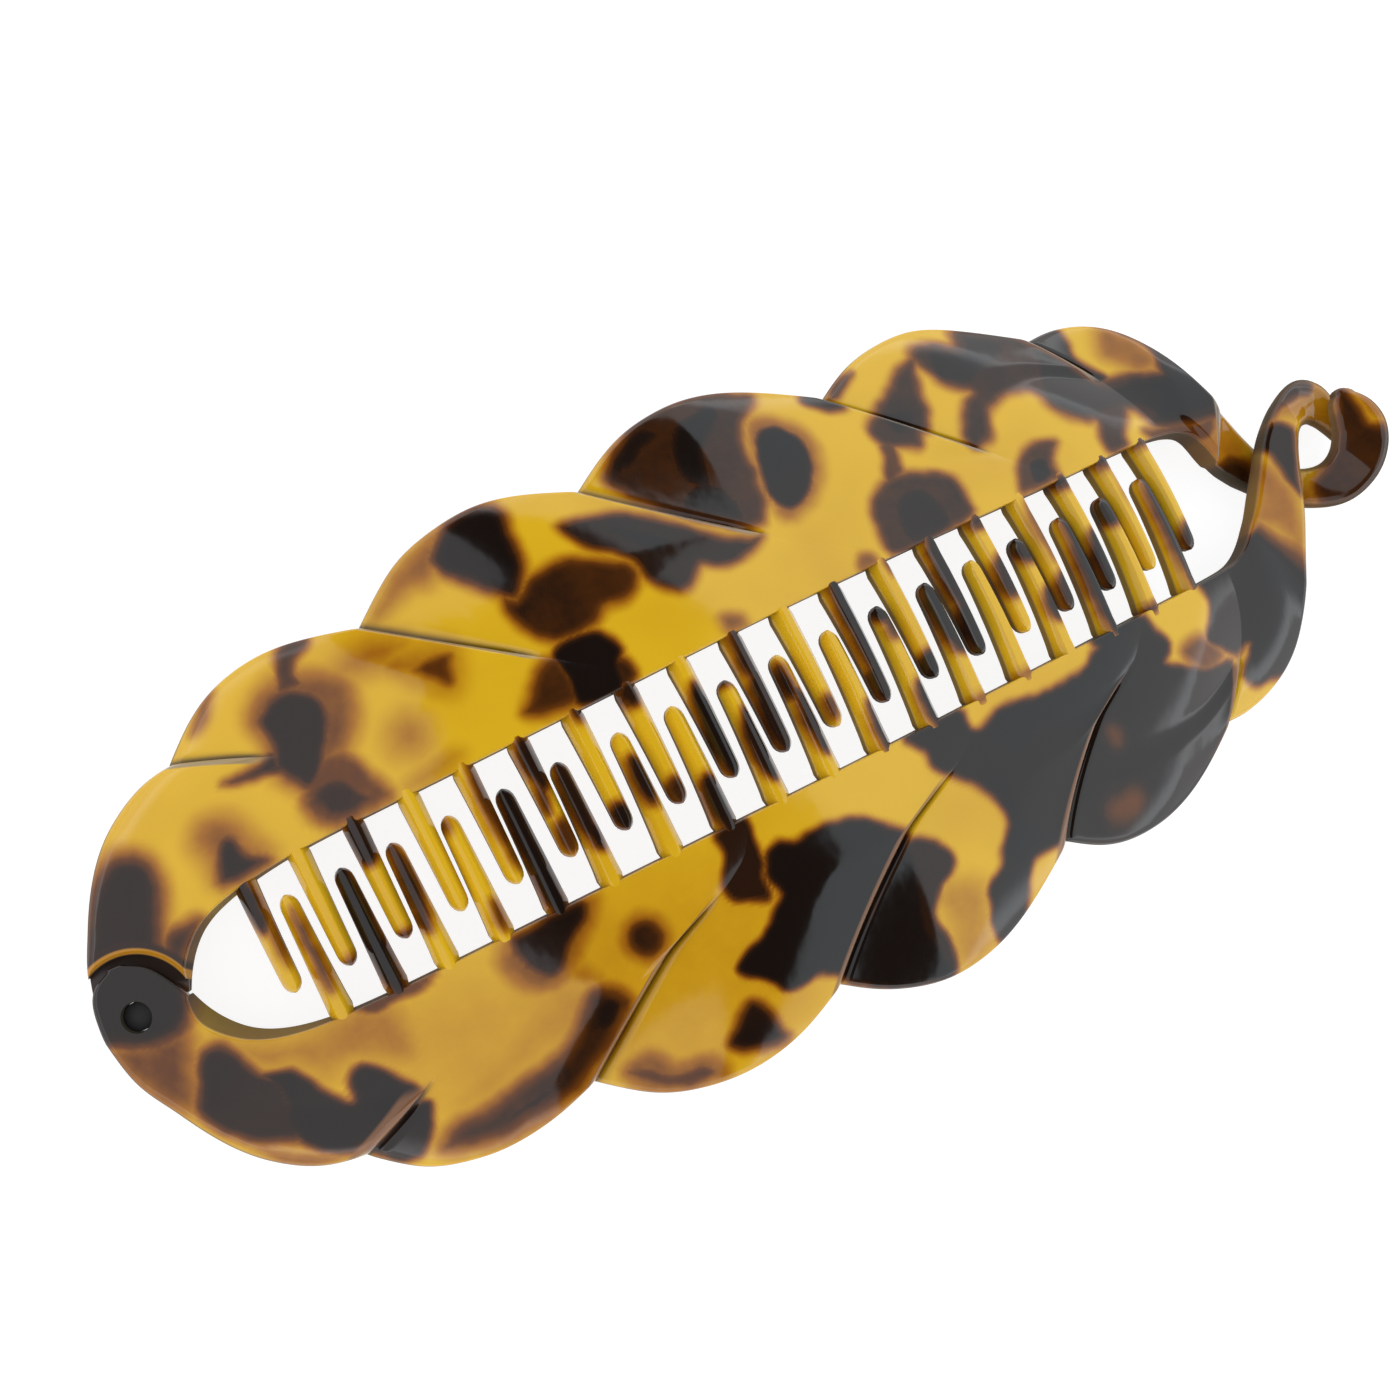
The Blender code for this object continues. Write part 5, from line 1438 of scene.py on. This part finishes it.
class HairClipStage(bpy.types.PropertyGroup):
    """Floor and lights."""

    floor: tint("Floor", (0.28, 0.28, 0.28), "Plain pale floor")
    floor_glow: share("Floor Glow", 0.85, "How brightly the light table under the floor glows")
    hinge_light: number("Hinge Light", 23.0, "Power of the soft light beyond the hinge", 1000.0, "POWER")
    clasp_light: number("Clasp Light", 28.5, "Power of the soft light beyond the clasp", 1000.0, "POWER")
    fill_light: number("Fill Light", 4.3, "Power of the light above, kept out of the gloss", 1000.0, "POWER")
    room: number("Room", 0.05, "Brightness of the dim room above the tent", 5.0)
    tent: number("Tent", 1.9, "Brightness of the pale tent around the clip", 5.0)
    tent_top: share("Tent Top", 0.42, "Height of the tent's open top, as the sine of its elevation")
    target: FloatVectorProperty(name="Target", description="Point in the middle of the view", size=3,
                                default=(-0.01191, 0.000346, 0.02227), subtype="XYZ", unit="LENGTH")
    lens: number("Lens", 131.73, "Focal length of the camera", 1000.0, "CAMERA")
    distance: length("Distance", 0.45, "Distance from the camera to the target")
    turn: angle("Turn", 26.03, "Turn of the picture about the line of sight")
    pitch: angle("Pitch", 18.4987, "Lean of the line of sight from straight down towards the hinge")


def in_millimetres(group):
    """A settings group's lengths as plain millimetres."""
    values = {name: getattr(group, name) / MM for name in type(group).__annotations__}
    return type("Sizes", (), values)


# Pieces

def build_shell(name, rim, inner, arm, ear, lip):
    """One shell with its clasp arm, bent over the arch."""
    sizes = in_millimetres(bpy.context.scene.hair_clip_shell)
    loops = shell_loops(shell_columns(rim, inner, arm, ear, sizes), inner, sizes, lip)
    ear_end, hook_end = 0.4, 0.7
    flat = skinned(name, loops, ear_end, hook_end)
    line = arch_line()
    mesh = bent_mesh(name, flat, bend_tree(), bend_inputs(line, None))
    bpy.data.objects.remove(line)
    return clean_normals(mesh)


def build_teeth(name, runs, table, look):
    """All teeth of one half, row by row, bent over the arch."""
    settings = bpy.context.scene.hair_clip_teeth
    ridge = settings.ridge
    flank = 1.0 - settings.flank
    # One side of a tooth's section, as its half width and height, both as shares
    half = [(0.85, 0.0), (1.0, 0.12), (1.0, flank - 0.12), (0.95, flank), (ridge + 0.08, 0.93),
            (ridge, 0.985), (ridge * 0.5, 1.0)]
    ring = half + [(-across, up) for across, up in reversed(half)]
    line = arch_line()
    tree = comb_tree(bend_tree())
    work = bmesh.new()
    for first, spacing, count in runs:
        inputs = {
            **bend_inputs(line, look),
            "First Tooth": first * MM,
            "Spacing": spacing * MM,
            "Count": int(count),
        }
        row = bent_mesh(name, tooth_mesh(table, ring), tree, inputs)
        work.from_mesh(row)
        bpy.data.meshes.remove(row)
    bpy.data.objects.remove(line)
    mesh = bpy.data.meshes.new(name)
    work.to_mesh(mesh)
    work.free()
    return mesh


def dress_shell(name, mesh, body, node, clouds, bevel_reflection_tint, ring=False):
    """Finishes a shell in the resin of its half."""
    # Sides below this height take painted shade
    side_shade_top = -0.12
    slot = "tortoiseshell_" + body
    look = tortoiseshell(slot, bpy.context.scene.hair_clip_finish, bevel_reflection_tint, side_shade_top, ring)
    finish_piece(name, mesh, body, look, (node,), clouds=clouds)


def dress_teeth(body, runs, table, rows):
    """Builds the teeth of one half and finishes them in its resin."""
    # The teeth's flanks below this height take painted shade
    below = -1.0
    slot = "tortoiseshell_" + body
    looks = bpy.context.scene.hair_clip_finish
    look = tortoiseshell(slot + "_teeth", looks, looks.edge, below)
    mesh = build_teeth(body + "_teeth", runs, table, look)
    finish_piece(body + "_teeth", mesh, body, look, crease=24.0, clouds=tooth_clouds(rows, runs))


class HAIRCLIP_OT_lower_shell(bpy.types.Operator):
    """Builds the lower half's shell with its hinge ear and clasp arm"""

    bl_idname = "hair_clip.lower_shell"
    bl_label = "Lower Shell"

    def execute(self, context):
        hinge = in_millimetres(context.scene.hair_clip_hinge)
        lip = context.scene.hair_clip_shell.lip / MM
        mesh = build_shell("lower_shell", LOWER_RIM, LOWER_INNER, LOWER_ARM, LOWER_EAR, lip)
        # Room under the ear for the other half's ear
        turns = np.linspace(0.0, 2.0 * math.pi, 96, endpoint=False)
        clear = hinge.seat_radius + 0.5
        clear_of_shell = 4.6
        reach = np.where(np.sin(turns) > -0.05, clear, clear_of_shell)
        under = list(zip(reach * np.cos(turns), reach * np.sin(turns)))
        mesh = carve(mesh, turned_solid("seat", ((-8.0, 1.0), (-1.2, 1.0)), under))
        hole = (
            (-9.0, hinge.hole_radius),
            (-0.45, hinge.hole_radius),
            (0.0, hinge.hole_radius + hinge.hole_flare * 0.6),
            (0.5, hinge.hole_radius + hinge.hole_flare * 2.4),
        )
        mesh = carve(mesh, turned_solid("hole", hole, circle(64)))
        dress_shell("lower_shell", mesh, "lower", "lower_half", LOWER_CLOUDS,
                    context.scene.hair_clip_finish.lower_bevel)
        return {"FINISHED"}


class HAIRCLIP_OT_upper_shell(bpy.types.Operator):
    """Builds the upper half's shell with its hinge ear and clasp hook"""

    bl_idname = "hair_clip.upper_shell"
    bl_label = "Upper Shell"

    def execute(self, context):
        hinge = in_millimetres(context.scene.hair_clip_hinge)
        mesh = build_shell("upper_shell", UPPER_RIM, UPPER_INNER, UPPER_ARM, (), 0.0)
        ear = ((-3.0, 0.86), (-2.9, 0.93), (-2.6, 0.985), (-2.3, 1.0), (-1.6, 1.0))
        mesh = carve(mesh, turned_solid("ear", ear, closed_curve(UPPER_EAR, 6)), "UNION")
        seat = (
            (-1.5, hinge.seat_radius),
            (-0.55, hinge.seat_radius),
            (0.25, hinge.seat_radius + hinge.seat_flare),
            (8.0, hinge.seat_radius + hinge.seat_flare),
        )
        mesh = carve(mesh, turned_solid("seat", seat, circle(96)))
        hole = ((-9.0, hinge.hole_radius), (4.0, hinge.hole_radius))
        mesh = carve(mesh, turned_solid("hole", hole, circle(64)))
        dress_shell("upper_shell", mesh, "upper", "upper_half", UPPER_CLOUDS,
                    context.scene.hair_clip_finish.upper_bevel, True)
        return {"FINISHED"}


class HAIRCLIP_OT_teeth(bpy.types.Operator):
    """Builds the comb teeth of both halves"""

    bl_idname = "hair_clip.teeth"
    bl_label = "Comb Teeth"

    def execute(self, context):
        settings = context.scene.hair_clip_teeth
        upper = ((settings.upper_first / MM, settings.upper_spacing / MM, settings.upper_count),)
        dress_teeth("upper", upper, UPPER_TOOTH, UPPER_TOOTH_CLOUDS)
        dress_teeth("lower", LOWER_TEETH, LOWER_TOOTH, LOWER_TOOTH_CLOUDS)
        return {"FINISHED"}


class HAIRCLIP_OT_pin(bpy.types.Operator):
    """Builds the plain hinge pin"""

    bl_idname = "hair_clip.pin"
    bl_label = "Hinge Pin"

    def execute(self, context):
        radius = context.scene.hair_clip_hinge.pin_radius / MM
        rings = ((-2.9, radius * 0.96), (-2.86, radius), (-0.94, radius), (-0.9, radius * 0.96))
        mesh = turned_solid("pin", rings, circle(48))
        # Near black and rough, standing in for the shade down the hinge hole
        look = plain_finish("pin_black", context.scene.hair_clip_finish.pin, 0.7)
        finish_piece("pin", mesh, "lower", look, ("hinge_pin",))
        return {"FINISHED"}


def lay_floor(settings):
    """The pale floor, which glows a little like a light table."""
    corners = ((-1, -1), (1, -1), (1, 1), (-1, 1))
    mesh = bpy.data.meshes.new("floor")
    mesh.from_pydata([(x * FLOOR_REACH, y * FLOOR_REACH, 0.0) for x, y in corners], [], [(0, 1, 2, 3)])
    mesh.materials.append(plain_finish("floor_white", settings.floor, 0.9, settings.floor_glow))
    floor = bpy.data.objects.new("floor", mesh)
    bpy.context.scene.collection.objects.link(floor)


def hang_lights(settings):
    """Two wide lights that show in the gloss, and one above that doesn't."""
    for name, low, high, tone in LIGHTS:
        light = bpy.data.lights.new(name, "AREA")
        light.shape = "RECTANGLE"
        light.size = high - low
        light.size_y = LIGHT_WIDTH
        light.color = tone
        light.energy = getattr(settings, name)
        obj = bpy.data.objects.new(name, light)
        obj.location = ((low + high) / 2.0, 0.0, LIGHT_HEIGHT)
        obj.visible_glossy = name != "fill_light"
        bpy.context.scene.collection.objects.link(obj)


def pitch_tent(settings):
    """A world that is bright around the clip and dim above it."""
    world = bpy.data.worlds.new("room")
    world.use_nodes = True
    world.node_tree.nodes.clear()
    bench = Bench(world.node_tree)
    sky = bench.node("ShaderNodeSeparateXYZ", None, {0: bench.node("ShaderNodeTexCoord", output="Generated")})
    rise = bench.other(sky, 2)
    tent = bench.fade(rise, settings.tent_top, settings.tent_top - TENT_FADE, settings.room, settings.tent)
    glow = bench.node("ShaderNodeBackground", None, {"Color": TENT_TONE, "Strength": tent})
    bench.node("ShaderNodeOutputWorld", None, {"Surface": glow})
    bpy.context.scene.world = world
    bpy.context.scene.view_settings.view_transform = "Standard"


def place_camera(settings):
    """The camera over the clip, leaning towards the hinge, with the picture turned as the photograph is."""
    lens = bpy.data.cameras.new("camera")
    lens.lens = settings.lens
    lens.sensor_width = SENSOR_WIDTH
    camera = bpy.data.objects.new("camera", lens)
    right = Vector((math.cos(settings.pitch), 0.0, math.sin(settings.pitch)))
    back = Vector((-math.sin(settings.pitch), 0.0, math.cos(settings.pitch)))
    side = Vector((0.0, 1.0, 0.0))
    across = right * math.cos(settings.turn) - side * math.sin(settings.turn)
    upwards = right * math.sin(settings.turn) + side * math.cos(settings.turn)
    shift = upwards * VIEW_SHIFT_UP - across * VIEW_SHIFT_LEFT
    pose = Matrix((across, upwards, back)).transposed().to_4x4()
    pose.translation = Vector(settings.target) + back * settings.distance + shift
    camera.matrix_world = pose
    bpy.context.scene.collection.objects.link(camera)
    bpy.context.scene.camera = camera


class HAIRCLIP_OT_stage(bpy.types.Operator):
    """Lays the pale floor and sets the soft lights and the camera"""

    bl_idname = "hair_clip.stage"
    bl_label = "Stage"

    def execute(self, context):
        settings = context.scene.hair_clip_stage
        lay_floor(settings)
        hang_lights(settings)
        pitch_tent(settings)
        place_camera(settings)
        return {"FINISHED"}


class HAIRCLIP_PT_panel(bpy.types.Panel):
    """Lists the settings and the pieces in the 3D view's sidebar"""

    bl_idname = "HAIRCLIP_PT_panel"
    bl_label = "Banana Hair Clip"
    bl_space_type = "VIEW_3D"
    bl_region_type = "UI"
    bl_category = "Hair clip"

    def draw(self, context):
        for operator in OPERATORS:
            self.layout.operator(operator.bl_idname)
        for label, group in SETTINGS:
            box = self.layout.box()
            box.label(text=label.removeprefix("hair_clip_").capitalize())
            for name in group.__annotations__:
                box.prop(getattr(context.scene, label), name)


SETTINGS = (
    ("hair_clip_shell", HairClipShell),
    ("hair_clip_hinge", HairClipHinge),
    ("hair_clip_teeth", HairClipTeeth),
    ("hair_clip_finish", HairClipFinish),
    ("hair_clip_stage", HairClipStage),
)
OPERATORS = (
    HAIRCLIP_OT_lower_shell,
    HAIRCLIP_OT_upper_shell,
    HAIRCLIP_OT_teeth,
    HAIRCLIP_OT_pin,
    HAIRCLIP_OT_stage,
)


def register():
    """Registers the settings, the operators and the panel."""
    for name, group in SETTINGS:
        bpy.utils.register_class(group)
        setattr(bpy.types.Scene, name, PointerProperty(type=group))
    for operator in OPERATORS:
        bpy.utils.register_class(operator)
    bpy.utils.register_class(HAIRCLIP_PT_panel)


def unregister():
    """Takes back what register did."""
    bpy.utils.unregister_class(HAIRCLIP_PT_panel)
    for operator in reversed(OPERATORS):
        bpy.utils.unregister_class(operator)
    for name, group in reversed(SETTINGS):
        delattr(bpy.types.Scene, name)
        bpy.utils.unregister_class(group)


def main():
    register()
    bpy.ops.hair_clip.lower_shell()
    bpy.ops.hair_clip.upper_shell()
    bpy.ops.hair_clip.teeth()
    bpy.ops.hair_clip.pin()
    bpy.ops.hair_clip.stage()


if __name__ == "__main__":
    main()
